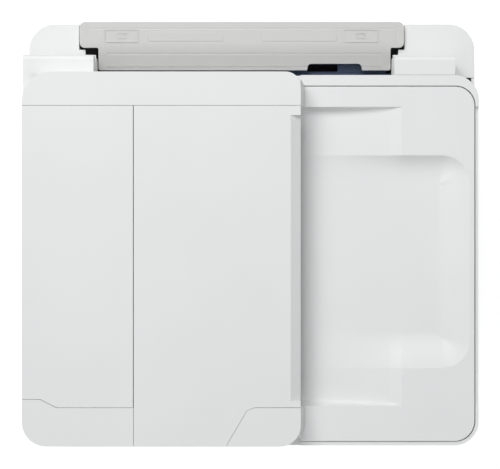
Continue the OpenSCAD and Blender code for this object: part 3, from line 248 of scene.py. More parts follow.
@dataclass(frozen=True)
class CellFoam(Finish):
    """Closed-cell foam sheet, with small cells."""

    stain: float = 20.0
    stain_detail: float = 2.0

    def pattern(self, tree: Tree, place: Socket) -> tuple[Socket, Socket]:
        """Small cells from a Voronoi texture.

        Args:
            tree: The material's node tree.
            place: The coordinates' socket.

        Returns:
            The sockets of the tone and of the height.
        """
        cell = tree.nodes.new("ShaderNodeTexVoronoi")
        cell.inputs["Scale"].default_value = self.grain
        tree.links.new(place, cell.inputs["Vector"])
        return self.noise(tree, place, self.stain, self.stain_detail), cell.outputs["Distance"]


@dataclass(frozen=True)
class SheerPlastic(Finish):
    """Plastic or glass that can let light through."""

    transmission: float = 0.0
    ior: float = 1.5

    def surface(self, shader: bpy.types.ShaderNode) -> None:
        """Adds the light that goes through."""
        shader.inputs["Transmission Weight"].default_value = self.transmission
        shader.inputs["IOR"].default_value = self.ior


@dataclass(frozen=True)
class CoverPlastic(SheerPlastic):
    """The rear cover's sheer plastic, with painted light over the white deck behind and painted shade over the
    slot.

    The change of the painted light is its place along Y in metres, and its levels are the tone before and after
    it.
    """

    stain: float = 30.0
    stain_share: float = 0.12
    # Painted light and shade: the tone is low in front, over the slot, and high behind, over the white deck.
    change: Span = (0.149, 0.162)
    painted_light_levels: Span = (0.25, 0.7)

    def pattern(self, tree: Tree, place: Socket) -> tuple[Socket, Socket]:
        """Painted light and shade: a soft change of tone along Y, with a slow stain over it.

        Args:
            tree: The material's node tree.
            place: The coordinates' socket.

        Returns:
            The sockets of the tone and of the height.
        """
        axes = tree.nodes.new("ShaderNodeSeparateXYZ")
        # Painted light and shade along Y, from the slot in front to the white deck behind.
        level = tree.nodes.new("ShaderNodeMapRange")
        level.inputs["From Min"].default_value, level.inputs["From Max"].default_value = self.change
        level.inputs["To Min"].default_value, level.inputs["To Max"].default_value = self.painted_light_levels
        both = tree.nodes.new("ShaderNodeMath")
        both.operation, both.inputs[1].default_value = "MULTIPLY_ADD", self.stain_share
        tree.links.new(place, axes.inputs[0])
        tree.links.new(axes.outputs["Y"], level.inputs["Value"])
        tree.links.new(self.noise(tree, place, self.stain, self.stain_detail), both.inputs[0])
        tree.links.new(level.outputs["Result"], both.inputs[2])
        return both.outputs[0], self.noise(tree, place, self.grain, GRAIN_DETAIL)


FINISHES: tuple[Finish, ...] = (
    Finish(Slot.WHITE, (0.86, 0.862, 0.858), roughness=0.5, tone=0.012),
    Finish(Slot.GREY, (0.62, 0.625, 0.635), roughness=0.5, tone=0.03),
    # The sheer plastic's wide tone swing carries the rear cover's painted light and shade.
    CoverPlastic(Slot.TRANSLUCENT, (0.64, 0.64, 0.625), roughness=0.36, tone=0.11, transmission=0.12),
    Finish(Slot.NAVY, (0.010, 0.034, 0.088), roughness=0.42, tone=0.12),
    Finish(Slot.DARK, (0.026, 0.026, 0.028), roughness=0.55, tone=0.25, bump=0.12),
    Finish(Slot.RUBBER, (0.022, 0.022, 0.024), roughness=0.82, tone=0.2, grain=1300.0, bump=0.3),
    BrushedMetal(Slot.SHEET, (0.56, 0.57, 0.58), roughness=0.38, tone=0.06, bump=0.05),
    BrushedMetal(Slot.STEEL, (0.68, 0.68, 0.69), roughness=0.2, tone=0.04, bump=0.03),
    BrushedMetal(Slot.BRASS, (0.72, 0.5, 0.2), roughness=0.3, tone=0.08, bump=0.05),
    Finish(Slot.GEAR, (0.74, 0.72, 0.66), roughness=0.4, tone=0.03),
    PrintedBoard(Slot.BOARD, (0.02, 0.13, 0.07), roughness=0.35, tone=0.35),
    SheerPlastic(Slot.GLASS, (0.93, 0.96, 0.95), roughness=0.04, tone=0.01, bump=0.0, transmission=0.95),
    SheerPlastic(Slot.DISPLAY, (0.006, 0.007, 0.009), roughness=0.09, tone=0.2, bump=0.01),
    CellFoam(Slot.FOAM, (0.88, 0.88, 0.86), roughness=0.85, tone=0.02, grain=900.0, bump=0.25),
)


class Palette:
    """All finishes as materials, by slot."""

    def __init__(self, finishes: Iterable[Finish]) -> None:
        """Builds each finish once."""
        self.materials = {finish.slot: finish.build() for finish in finishes}

    def dress(self, obj: Piece, slot: Slot) -> Piece:
        """Gives a piece one finish, and names its slot.

        Args:
            obj: The piece.
            slot: Its material slot.

        Returns:
            The piece.
        """
        obj.data.materials.clear()
        obj.data.materials.append(self.materials[slot])
        for face in obj.data.polygons:
            face.material_index = 0
        return obj


# ---- Bench -----------------------------------------------------------------------------------------------


def rounded(points: Sequence[Point], radii: Sequence[float], steps: int = 10) -> list[Point]:
    """An outline whose corners are round.

    Args:
        points: The corners, counterclockwise, in millimetres.
        radii: The radius at each corner.
        steps: Segments of each round corner.

    Returns:
        The points of the rounded outline.
    """
    straight = math.pi - 0.01
    outline: list[Point] = []
    for i, (point, radius) in enumerate(zip(points, radii)):
        here = Vector(point)
        back = (Vector(points[i - 1]) - here).normalized()
        ahead = (Vector(points[(i + 1) % len(points)]) - here).normalized()
        angle = back.angle(ahead)
        if radius <= 0 or angle > straight:
            outline.append((here.x, here.y))
            continue
        reach = radius / math.tan(angle / 2)
        centre = here + (back + ahead).normalized() * (radius / math.sin(angle / 2))
        start, end = here + back * reach - centre, here + ahead * reach - centre
        sweep = start.angle_signed(end)
        for k in range(steps + 1):
            cos, sin = math.cos(-sweep * k / steps), math.sin(-sweep * k / steps)
            spun = Vector((start.x * cos - start.y * sin, start.x * sin + start.y * cos))
            outline.append((centre.x + spun.x, centre.y + spun.y))
    return outline


def corners(x: Span, y: Span) -> list[Point]:
    """The corners of a rectangle: front left, front right, rear right, rear left."""
    return [(x[0], y[0]), (x[1], y[0]), (x[1], y[1]), (x[0], y[1])]


def shrunk(span: Span, by: float) -> Span:
    """A span whose two ends move inwards."""
    return span[0] + by, span[1] - by


class Bench:
    """Modelling with operators, one piece at a time. Lengths are in millimetres, and angles in degrees."""

    # How near points count as one, in metres, what is flat, what is sharp, and how much wide faces weigh.
    SAME_PLACE = 1e-5
    FLAT = 1.0
    SHARP = 34.0
    WIDE_WEIGHT = 80
    # Where the first, the second and the extruded measure of a prism go, by its axis.
    ORDERS: dict[str, tuple[int, int, int]] = {"X": (2, 0, 1), "Y": (0, 2, 1), "Z": (0, 1, 2)}

    @staticmethod
    def clear() -> None:
        """Leaves nothing selected, in object mode."""
        if bpy.context.mode != "OBJECT":
            bpy.ops.object.mode_set(mode="OBJECT")
        bpy.ops.object.select_all(action="DESELECT")

    @classmethod
    def take(cls, obj: Piece) -> Piece:
        """Makes a piece the only selected one, in object mode.

        Args:
            obj: The piece.

        Returns:
            The piece.
        """
        cls.clear()
        bpy.context.view_layer.objects.active = obj
        obj.select_set(True)
        return obj

    @classmethod
    def block(cls, name: str, x: Span, y: Span, z: Span) -> Piece:
        """A block from its limits, as a start for a piece or a cutter.

        Args:
            name: The block's name.
            x: Its limits along X.
            y: Its limits along Y.
            z: Its limits along Z.

        Returns:
            The block.
        """
        cls.clear()
        middle = [MM * (s[0] + s[1]) / 2 for s in (x, y, z)]
        bpy.ops.mesh.primitive_cube_add(size=1, location=middle)
        obj = bpy.context.active_object
        obj.name = obj.data.name = name
        obj.scale = [MM * (s[1] - s[0]) for s in (x, y, z)]
        bpy.ops.object.transform_apply(location=True, rotation=True, scale=True)
        return obj

    @staticmethod
    def extrude(rise: Sequence[float]) -> None:
        """Extrudes the active piece's whole face, and points its faces outwards.

        Args:
            rise: The way that the face goes, in metres.
        """
        bpy.ops.object.mode_set(mode="EDIT")
        bpy.ops.mesh.select_all(action="SELECT")
        bpy.ops.mesh.extrude_region_move(TRANSFORM_OT_translate={"value": rise})
        bpy.ops.mesh.select_all(action="SELECT")
        bpy.ops.mesh.normals_make_consistent(inside=False)
        bpy.ops.object.mode_set(mode="OBJECT")

    @classmethod
    def prism(cls, name: str, outline: Sequence[Point], span: Span, axis: str = "Z") -> Piece:
        """An outline that is extruded along an axis.

        Args:
            name: The piece's name.
            outline: Points on the two other axes, in their order.
            span: Limits along the axis.
            axis: "X", "Y" or "Z".

        Returns:
            The closed prism, with its faces outwards.
        """
        cls.clear()
        bpy.ops.mesh.primitive_circle_add(vertices=len(outline), radius=1, fill_type="NGON")
        obj = bpy.context.active_object
        obj.name = obj.data.name = name
        order = cls.ORDERS[axis]
        for vertex, (a, b) in zip(obj.data.vertices, outline):
            vertex.co = [MM * (a, b, span[0])[i] for i in order]
        cls.extrude([MM * (0, 0, span[1] - span[0])[i] for i in order])
        return obj

    @classmethod
    def round_edges(cls, obj: Piece, test: Test, radius: float, segments: int) -> Piece:
        """Rounds some edges.

        Args:
            obj: The piece.
            test: Says whether an edge is rounded, from its two ends in millimetres.
            radius: The radius.
            segments: Segments of the round.

        Returns:
            The piece.
        """
        cls.take(obj)
        mesh = obj.data
        bpy.context.tool_settings.mesh_select_mode = (False, True, False)
        for part in (mesh.vertices, mesh.polygons):
            part.foreach_set("select", [False] * len(part))
        for edge in mesh.edges:
            a, b = (mesh.vertices[i].co / MM for i in edge.vertices)
            edge.select = test(a, b)
        bpy.ops.object.mode_set(mode="EDIT")
        bpy.ops.mesh.bevel(offset=MM * radius, segments=segments, affect="EDGES", clamp_overlap=True)
        bpy.ops.object.mode_set(mode="OBJECT")
        return obj

    @classmethod
    def combine(cls, obj: Piece, others: Sequence[Piece], how: str = "DIFFERENCE") -> Piece:
        """Cuts other shapes from a piece, or adds them to it, and removes them.

        Args:
            obj: The piece.
            others: The other shapes.
            how: "DIFFERENCE" or "UNION".

        Returns:
            The piece.
        """
        for other in others:
            cls.take(obj)
            step = obj.modifiers.new("combine", "BOOLEAN")
            step.operation, step.object, step.solver = how, other, "MANIFOLD"
            bpy.ops.object.modifier_apply(modifier=step.name)
            bpy.data.objects.remove(other, do_unlink=True)
        return obj

    @classmethod
    def tidy(cls, obj: Piece) -> Piece:
        """Merges doubles and dissolves flat edges.

        Args:
            obj: The piece.

        Returns:
            The piece.
        """
        cls.take(obj)
        bpy.ops.object.mode_set(mode="EDIT")
        bpy.ops.mesh.select_all(action="SELECT")
        bpy.ops.mesh.remove_doubles(threshold=cls.SAME_PLACE)
        bpy.ops.mesh.dissolve_limited(angle_limit=math.radians(cls.FLAT))
        bpy.ops.mesh.vert_connect_concave()
        bpy.ops.object.mode_set(mode="OBJECT")
        return obj

    @classmethod
    def soften(cls, obj: Piece, width: float, angle: float = SHARP) -> Piece:
        """Rounds the sharp edges, and shades the curved faces smooth.

        Args:
            obj: The piece.
            width: The widest round. The piece's shortest edges make it narrower all over the piece, by much where
                one of them is very short.
            angle: The angle from which an edge is sharp.

        Returns:
            The piece.
        """
        cls.take(obj)
        step = obj.modifiers.new("soften", "BEVEL")
        step.width, step.segments, step.limit_method = MM * width, 2, "ANGLE"
        step.angle_limit = math.radians(angle)
        step.use_clamp_overlap, step.harden_normals = True, False
        step.miter_outer = "MITER_ARC"
        bpy.ops.object.modifier_apply(modifier=step.name)
        return cls.smooth(obj, angle)

    @classmethod
    def smooth(cls, obj: Piece, angle: float) -> Piece:
        """Shades curved faces smooth, and keeps the wide flat faces flat.

        Args:
            obj: The piece.
            angle: The angle from which an edge is sharp.

        Returns:
            The piece.
        """
        cls.take(obj)
        bpy.ops.object.shade_smooth_by_angle(angle=math.radians(angle))
        step = obj.modifiers.new("even", "WEIGHTED_NORMAL")
        step.weight, step.keep_sharp = cls.WIDE_WEIGHT, True
        bpy.ops.object.modifier_apply(modifier=step.name)
        return obj

    @classmethod
    def finish(cls, obj: Piece, width: float, angle: float = SHARP) -> Piece:
        """Tidies a piece that has been cut or joined, and rounds its edges."""
        return cls.soften(cls.tidy(obj), width, angle)

    @classmethod
    def from_node(cls, node: str, name: str, width: float = 0.0) -> Piece:
        """A merged copy of a CAD node, which it then stands for.

        Args:
            node: The CAD node's name.
            name: The piece's name.
            width: The widest round on its edges, or 0 for a copy that is still to be cut or joined.

        Returns:
            The piece.
        """
        cls.clear()
        source = frame["nodes"][node]
        obj = bpy.data.objects.new(name, source.data.copy())
        bpy.context.scene.collection.objects.link(obj)
        obj.data.name = name
        if obj.data.has_custom_normals:
            cls.take(obj)
            bpy.ops.mesh.customdata_custom_splitnormals_clear()
        cls.tidy(obj)
        if width > 0:
            cls.soften(obj, width)
        else:
            cls.smooth(obj, 30)
        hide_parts(node)
        return obj


# ---- Sub-assemblies --------------------------------------------------------------------------------------


@dataclass
class SubAssembly:
    """Pieces that are built and dressed together. Their sizes are in millimetres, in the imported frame."""

    palette: Palette

    def fit(self, obj: Piece, slot: Slot, body: str, *nodes: str) -> Piece:
        """Dresses a new piece, rides it on its body, and lets it stand for CAD nodes.

        Args:
            obj: The piece.
            slot: Its material slot.
            body: The body that it rides on.
            nodes: CAD nodes that it hides, apart from one that it was copied from.

        Returns:
            The piece.
        """
        self.palette.dress(obj, slot)
        if nodes:
            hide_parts(*nodes)
        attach(obj, body)
        LOG.info("%s: %d faces", obj.name, len(obj.data.polygons))
        return obj

    def mould(self, slot: Slot, nodes: dict[str, float]) -> None:
        """Rounds the edges of CAD nodes' copies, and dresses them.

        Args:
            slot: Their material slot.
            nodes: The widest round by the node's name, as Bench.soften takes it.
        """
        for node, width in nodes.items():
            obj = Bench.from_node(node, node + "_moulding", width)
            self.fit(obj, slot, frame["nodes"][node]["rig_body"])

    def keep(self, slot: Slot, *nodes: str) -> None:
        """Dresses CAD nodes as they are.

        Args:
            slot: Their material slot.
            nodes: The nodes' names.
        """
        for node in nodes:
            self.palette.dress(frame["nodes"][node], slot)
            LOG.info("%s: finished as %s", node, slot.value)


@dataclass
class DocumentCover(SubAssembly):
    """The flat cover over the scanner: its rim, its top panel with two hollows, and its rear cover.

    The recess is the slope where originals come out of the feeder. The scoop is the hollow for a hand.
    """

    # The top panel, whose left edge keeps a seam to the feeder
    left: float = 39.9
    seam: float = 0.4
    right: float = 184.0
    front: float = -172.9
    rear: float = 120.0
    floor: float = 158.6
    top: float = 168.0
    panel_corners: Point = (17, 16)
    panel_round: float = 0.7
    # The recess: its limits along Y, its depth at the feeder, its slope's length, and the lip at its end
    recess: Span = (-143.5, 103.2)
    recess_depth: float = 7.6
    ramp: float = 84.0
    lip: float = 1.5
    lip_width: float = 10.0
    wall_share: float = 0.72
    wall_least: float = 0.4
    wall_steepness: int = 3
    # The scoop, with the widths of its rear, front and right slopes
    scoop: Span = (-112.8, 63.2)
    scoop_right: float = 180.3
    scoop_depth: float = 8.5
    scoop_radius: float = 24.0
    scoop_slopes: Triple = (42.0, 31.0, 27.0)
    scoop_steepness: float = 5.5
    scoop_softness: float = 0.85
    # The mesh of the hollows: its pitch, how far it goes past them, and how high it rises beyond them
    pitch: float = 1.6
    past: float = 1.2
    rise: float = 1.5
    # The rear cover strip, from a gap behind the panel, with its thin skin that goes round the corner
    gap: float = 0.7
    strip_rear: float = 129.5
    strip_side: float = 187.0
    strip_corner: float = 20.0
    wrap_corner: float = 16.4
    wrap_start: float = 0.3
    skin: Span = (1.35, 0.1)
    body_side: float = 3.35
    body_drop: float = 1.0
    # The corner of the left hinge block
    bow: Point = (-187.85, 130.95)
    bow_radius: float = 24.0
    bow_z: Span = (157.0, 181.0)
    bow_past: Point = (0.05, 0.25)

    def recess_at(self, x: float, y: float) -> float:
        """Depth of the slope where originals come out.

        Args:
            x: The place along X.
            y: The place along Y.

        Returns:
            The depth. It is negative beyond the slope's edge.
        """
        u = (x - self.left) / self.ramp
        rise = min((self.left + self.ramp - x) / self.lip_width, 1.0)
        floor = (self.recess_depth - self.lip) * (1 - u * u) + self.lip * rise
        inside = min(y - self.recess[0], self.recess[1] - y)
        if floor <= 0:
            return floor + min(inside, 0.0)
        foot = max(self.wall_share * floor, self.wall_least)
        if inside < 0:
            return self.wall_steepness * floor * inside / foot
        return floor * (1 - (1 - min(inside / foot, 1.0)) ** self.wall_steepness)

    def scoop_at(self, x: float, y: float) -> float:
        """Share of the hand scoop's depth at a place.

        Args:
            x: The place along X.
            y: The place along Y.

        Returns:
            1 on the floor and 0 on the edge, steep under the rear rim and soft at the front and on the right.
            It is negative beyond the edge.
        """
        middle, half = sum(self.scoop) / 2, (self.scoop[1] - self.scoop[0]) / 2
        across = x - (self.scoop_right - self.scoop_radius)
        along = abs(y - middle) - (half - self.scoop_radius)
        outside = math.hypot(max(across, 0.0), max(along, 0.0)) + min(max(across, along), 0.0)
        outside -= self.scoop_radius
        if across > 0 and along > 0:
            side = across * across / (across * across + along * along)
        else:
            side = float(across > along)
        at_rear, at_front, at_right = self.scoop_slopes
        round_share = side if y > middle else 1.0
        width = (at_rear if y > middle else at_front) * (1 - side) + at_right * side
        if outside > 0:
            return -outside / width
        reach = min(-outside / width, 1.0)
        steep = 1 - (1 - reach) ** self.scoop_steepness
        soft = reach * reach * (3 - 2 * reach)
        soft = self.scoop_softness * soft + (1 - self.scoop_softness) * steep
        return steep + (soft - steep) * round_share

    def depth(self, x: float, y: float) -> float:
        """Depth of both hollows. The scoop goes on from the slope, so that its rim stays straight.

        Args:
            x: The place along X.
            y: The place along Y.

        Returns:
            The depth. It is negative beyond the hollows' edges.
        """
        slope, share = self.recess_at(x, y), self.scoop_at(x, y)
        if share <= 0:
            return slope if slope > 0 else max(slope, 2 * self.scoop_depth * share)
        base = max(slope, 0.0)
        return base + max(self.scoop_depth - base, 0.0) * share

    def lines(self, limits: Span, edges: Sequence[float]) -> list[float]:
        """Grid lines with the pitch, closer round some edges and exactly on them.

        Args:
            limits: The first and the last line.
            edges: Places of the edges.

        Returns:
            The lines' places, in order.
        """
        near = self.pitch / 4
        count = round((limits[1] - limits[0]) / self.pitch)
        places = {round(limits[0] + (limits[1] - limits[0]) * i / count, 3) for i in range(count + 1)}
        places = {p for p in places if all(abs(p - edge) > 0.45 * self.pitch for edge in edges)}
        places |= {round(edge + offset, 3) for edge in edges for offset in (-near, 0.0, near)}
        return sorted(places)

    def hollow_cutter(self) -> Piece:
        """A closed cutter whose underside is the surface of both hollows.

        Returns:
            The cutter.
        """
        end = self.left + self.ramp
        edges = (end, end - self.lip_width, self.scoop_right)
        xs = self.lines((self.left - 1.0, self.scoop_right + 3), edges)
        ys = self.lines(shrunk(self.recess, -self.past), (*self.recess, *self.scoop))
        Bench.clear()
        bpy.ops.mesh.primitive_grid_add(x_subdivisions=len(xs) - 1, y_subdivisions=len(ys) - 1, size=1)
        cutter = bpy.context.active_object
        for index, vertex in enumerate(cutter.data.vertices):
            x, y = xs[index % len(xs)], ys[index // len(xs)]
            vertex.co = (MM * x, MM * y, MM * (self.top - max(self.depth(x, y), -self.rise)))
        Bench.extrude((0, 0, MM * 14))
        return cutter

    def top_panel(self) -> None:
        """The panel with its two hollows."""
        outline = corners((self.left + self.seam, self.right), (self.front, self.rear))
        outline = rounded(outline, (0, *self.panel_corners, 0), 20)
        panel = Bench.prism("cover_top_panel", outline, (self.floor, self.top))

        def on_rim(a: Vector, b: Vector) -> bool:
            """Whether an edge lies round the panel's top, away from the feeder."""
            return min(a.z, b.z) > self.top - 0.01 and max(a.x, b.x) > self.left + 1

        Bench.round_edges(panel, on_rim, self.panel_round, 3)
        Bench.combine(panel, [self.hollow_cutter()])
        Bench.smooth(panel, 15)
        self.fit(panel, Slot.WHITE, "document_cover", "lid_top_panel")

    def rear_strip(self) -> None:
        """The strip behind the panel, which follows its corner round to the side."""
        left, front = self.left + self.seam, self.rear + self.gap
        inside, start = self.right + self.gap, self.recess[1] + self.wrap_start
        inner = [(left, front), (inside, front), (inside, self.recess[1])]
        inner = rounded(inner, (0, self.wrap_corner, 0), 16)
        outer = [(self.strip_side, 60.0), (self.strip_side, self.strip_rear), (left, self.strip_rear)]
        outer = rounded(outer, (0, self.strip_corner, 0), 16)
        wrap = [*inner[:-1], (inside, start), (self.strip_side, start), *outer[1:]]
        strip = Bench.prism("cover_rear_strip", wrap, (self.top - self.skin[0], self.top - self.skin[1]))
        arc = [point for point in outer if point[1] > front + 0.2]
        block = [(left, front), (self.strip_side - self.body_side, front), *arc]
        body = Bench.prism("strip_body", block, (self.floor, self.top - self.body_drop))
        Bench.combine(strip, [body], "UNION")
        Bench.finish(strip, 0.35)
        self.fit(strip, Slot.WHITE, "document_cover", "lid_rear_cover")

    def rim(self) -> None:
        """The cover's lower part, with the corner of the hinge block that shows under the feeder."""
        rim = Bench.from_node("lid_case", "cover_rim")
        side, rear = self.bow
        bow = rounded([(-150.0, rear), (side, rear), (side, 100.0)], (0, self.bow_radius, 0), 16)[1:-1]
        side, rear = side - self.bow_past[0], rear + self.bow_past[1]
        corner = [(side, bow[-1][1]), *reversed(bow), (bow[0][0], rear), (side, rear)]
        Bench.combine(rim, [Bench.prism("rim_corner", corner[::-1], self.bow_z)], "UNION")
        Bench.finish(rim, 0.8)
        self.fit(rim, Slot.WHITE, "document_cover")

    def build(self) -> None:
        """Builds all its pieces."""
        self.top_panel()
        self.rear_strip()
        self.rim()
        self.keep(Slot.FOAM, "platen_pad")


@dataclass
class Feeder(SubAssembly):
    """The automatic document feeder on the left of the cover."""

    right: float = 39.9
    top: float = 194.0
    # The chamfer along the tray's right edge: its width, its depth and its ends
    chamfer: Point = (8.2, 4.9)
    chamfer_y: Span = (-138.5, 95.2)

    def tray(self) -> None:
        """The document tray, folded shut, with a wide chamfer along its right edge."""
        tray = Bench.from_node("document_tray", "tray_moulding")
        wide, deep = self.chamfer
        inner, outer, over = self.right - wide, self.right + 1, self.top + 1
        low = self.top - deep * (wide + 1) / wide
        wedge = [(inner, self.top), (outer, low), (outer, over), (inner, over)]
        Bench.combine(tray, [Bench.prism("tray_chamfer", wedge, self.chamfer_y, "Y")])
        Bench.finish(tray, 0.4, 22)
        self.fit(tray, Slot.WHITE, "original_tray")

    def build(self) -> None:
        """Builds all its pieces."""
        self.mould(Slot.WHITE, {"adf_case": 1.9, "feeder_cover": 0.8})
        self.tray()
        self.mould(Slot.GREY, {"adf_bed": 0.5, "document_guide_front": 0.4, "document_guide_rear": 0.4})
        self.mould(Slot.RUBBER, {"adf_pickup_roller": 0.3, "adf_exit_roller": 0.3})


@dataclass
class Scanner(SubAssembly):
    """The scanner unit, with its glass and its scan head."""

    def build(self) -> None:
        """Builds all its pieces."""
        self.mould(Slot.WHITE, {"scanner_case": 1.2})
        self.mould(Slot.GREY, {"scanner_top_frame": 0.5})
        self.keep(Slot.GLASS, "scanner_glass")
        self.keep(Slot.STEEL, "scan_rail", "hinge_pins")
        self.mould(Slot.DARK, {"scan_carriage": 0.5})


@dataclass
class LowerHousing(SubAssembly):
    """The lower housing, the deck behind the scanner and the hinge brackets."""

    openings_x: tuple[Span, Span] = ((-140.4, -131.2), (117.4, 123.6))
    openings_y: Span = (149.4, 154.4)
    openings_z: Span = (118.0, 124.0)

    def build(self) -> None:
        """Builds all its pieces."""
        self.mould(Slot.WHITE, {"base_case": 1.2, "rear_jam_cover": 0.8})
        deck = Bench.from_node("rear_deck", "deck_moulding")
        for x in self.openings_x:
            Bench.combine(deck, [Bench.block("deck_opening", x, self.openings_y, self.openings_z)])
        Bench.finish(deck, 0.8)
        self.fit(deck, Slot.WHITE, "base")
        self.mould(Slot.RUBBER, {"rubber_feet": 0.8})
        self.mould(Slot.SHEET, {"hinge_brackets": 0.5})
        self.mould(Slot.DARK, {"rear_sockets": 0.3, "power_supply": 0.6})
        self.keep(Slot.BOARD, "logic_board")


@dataclass
class RearTray(SubAssembly):
    """The rear tray cover, the paper support, the flap over the feed slot and the paper guides."""

    # The cover's plate: its wide rear part, its narrow front part, and the finger notch
    wide: Span = (-145.1, 128.3)
    narrow: Span = (-129.2, 116.9)
    depth: Triple = (136.3, 155.3, 177.0)
    plate: Span = (122.4, 126.0)
    notch: Span = (46.6, 93.0)
    notch_depth: float = 5.5
    # Long creases, as their place along Y, half their width and their depth, and the two short ones' inset
    creases: tuple[Triple, ...] = ((171.2, 0.9, 0.7), (150.0, 1.4, 0.9), (139.2, 0.5, 0.4))
    crease_end: float = 7.5
    side_crease: Triple = (6.2, 0.9, 0.7)
    # Stepped frames at the two ends, as limits from the cover's side and along Y, and their lines' width
    frames: tuple[tuple[Span, Span], ...] = (((15.0, 44.0), (158.8, 170.2)), ((26.0, 34.0), (162.0, 167.0)))
    frame_line: float = 0.9
    frame_depth: float = 0.6
    # Low pads on the plate
    pads: tuple[Span, Span] = ((-88.0, -24.0), (8.0, 72.0))
    pads_y: Span = (160.6, 168.6)
    pad_height: float = 0.5
    # The room that the plate takes in the lips and arms, and the flap's opening
    room: tuple[Span, Span, Span] = ((-150.0, 135.0), (130.0, 180.0), (122.85, 130.0))
    flap_opening: tuple[Span, Span, Span] = ((47.0, 72.5), (135.6, 141.6), (100.0, 125.0))

    def plate_outline(self) -> list[Point]:
        """The cover from above: its wide rear part, its narrow front part and the finger notch.

        Returns:
            Corners of the outline.
        """
        front, split, rear = self.depth
        start, end = self.notch
        inner = front + self.notch_depth
        points = [(self.narrow[0], front), (start, front), (start + 1.0, inner), (end - 1.0, inner)]
        points += [(end, front), (self.narrow[1], front), (self.narrow[1], split), (self.wide[1], split)]
        points += [(self.wide[1], rear), (self.wide[0], rear), (self.wide[0], split), (self.narrow[0], split)]
        return rounded(points, (1.5, 1.0, 3.0, 3.0, 1.0, 1.5, 1.5, 4.5, 4.5, 4.5, 4.5, 1.5), 8)

    def crease(self, at: float, half: float, deep: float, span: Span, axis: str) -> Piece:
        """A cutter of one crease.

        Args:
            at: Its place.
            half: Half its width at the top.
            deep: Its depth.
            span: Its ends.
            axis: "X" or "Y", the way it runs.

        Returns:
            The cutter, with sloping sides and a narrow floor.
        """
        top, low, slit = self.plate[1] + 0.1, self.plate[1] - deep, 0.1
        section = [(at - half, top), (at - slit, low), (at + slit, low), (at + half, top)]
        return Bench.prism("cover_crease", section[::-1] if axis == "X" else section, span, axis)

    def stepped_frame(self, x: Span, y: Span) -> Piece:
        """A cutter of a rectangular line.

        Args:
            x: Its limits along X.
            y: Its limits along Y.

        Returns:
            The cutter.
        """
        top, line = self.plate[1], self.frame_line
        groove = Bench.block("cover_frame", x, y, (top - self.frame_depth, top + 0.1))
        inner = Bench.block("frame_inside", shrunk(x, line), shrunk(y, line), (top - 1, top + 1))
        return Bench.combine(groove, [inner])

    def grooves(self) -> list[Piece]:
        """Cutters of the creases along the cover and of the stepped frames at its two ends.

        Returns:
            The cutters.
        """
        split, rear = self.depth[1:]
        cuts = []
        for y, half, deep in self.creases:
            ends = shrunk(self.wide if y > split else self.narrow, self.crease_end)
            cuts.append(self.crease(y, half, deep, ends, "X"))
        inset, half, deep = self.side_crease
        for x, side in ((self.wide[0] + inset, 1), (self.wide[1] - inset, -1)):
            cuts.append(self.crease(x, half, deep, (split + 3, rear - 3), "Y"))
            for reach, y in self.frames:
                near, far = sorted((x + side * reach[0], x + side * reach[1]))
                cuts.append(self.stepped_frame((near, far), y))
        return cuts

    def cover(self) -> None:
        """The rear tray cover, with its lips and arms from the CAD node and a plate with its creases."""
        cover = Bench.from_node("rear_tray_cover", "cover_lip_and_arms")
        Bench.combine(cover, [Bench.block("cover_room", *self.room)])
        plate = Bench.prism("cover_plate", self.plate_outline(), self.plate)
        Bench.combine(plate, self.grooves())
        Bench.combine(cover, [plate], "UNION")
        top = self.plate[1]

        def on_top(a: Vector, b: Vector) -> bool:
            """Whether an edge lies round a pad's top."""
            return min(a.z, b.z) > top + 0.4

        for x in self.pads:
            outline = rounded(corners(x, self.pads_y), (2, 2, 2, 2), 6)
            pad = Bench.prism("cover_pad", outline, (top - 0.4, top + self.pad_height))
            Bench.round_edges(pad, on_top, 0.4, 2)
            Bench.combine(cover, [pad], "UNION")
        Bench.finish(cover, 0.35)
        self.fit(cover, Slot.TRANSLUCENT, "tray_cover")

    def build(self) -> None:
        """Builds all its pieces."""
        self.cover()
        self.mould(Slot.TRANSLUCENT, {"paper_support": 0.5})
        flap = Bench.from_node("feed_slot_cover", "flap_moulding")
        Bench.combine(flap, [Bench.block("flap_opening", *self.flap_opening)])
        Bench.finish(flap, 0.3)
        self.fit(flap, Slot.NAVY, "slot_flap")
        self.mould(Slot.NAVY, {"rear_guide_left": 0.4, "rear_guide_right": 0.4})
        self.mould(Slot.DARK, {"rear_feed_frame": 0.4})


@dataclass
class PaperPath(SubAssembly):
    """The cassette with its guides, and the output tray."""

    def build(self) -> None:
        """Builds all its pieces."""
        self.mould(Slot.WHITE, {"cassette": 0.9})
        guides = ("cassette_guide_left", "cassette_guide_right", "cassette_end_guide")
        self.mould(Slot.NAVY, dict.fromkeys(guides, 0.4))
        self.mould(Slot.GREY, {"output_deck": 0.4, "output_tray": 0.5, "output_extension": 0.3})


@dataclass
class OperationPanel(SubAssembly):
    """The tilting panel at the front, with its display and its buttons."""

    def build(self) -> None:
        """Builds all its pieces."""
        self.mould(Slot.WHITE, {"operation_panel": 0.8})
        self.mould(Slot.DISPLAY, {"display_window": 0.3})
        self.mould(Slot.GREY, {"power_button": 0.4})
        self.mould(Slot.NAVY, {"start_button": 0.4})


@dataclass
class PrintMechanism(SubAssembly):
    """The carriage on its rail, the rollers, the gears and the motors."""

    def build(self) -> None:
        """Builds all its pieces."""
        self.mould(Slot.SHEET, {"main_frame": 0.2, "drive_motors": 0.8})
        self.keep(Slot.STEEL, "carriage_rail")
        self.mould(Slot.DARK, {"platen": 0.3, "purge_unit": 0.4})
        self.mould(Slot.DARK, {"print_carriage": 0.6, "ink_cartridges": 0.5})
        thin = ("timing_belt", "feed_roller", "pinch_roller", "eject_roller")
        self.mould(Slot.RUBBER, dict.fromkeys(thin, 0.2))
        self.mould(Slot.RUBBER, {"rear_pickup_roller": 0.6, "cassette_pickup_roller": 0.6})
        self.mould(Slot.GEAR, {"motor_pulley": 0.15, "idler_pulley": 0.15, "idler_gear": 0.12})
        self.mould(Slot.BRASS, {"motor_pinion": 0.1})


# ---- Studio ----------------------------------------------------------------------------------------------


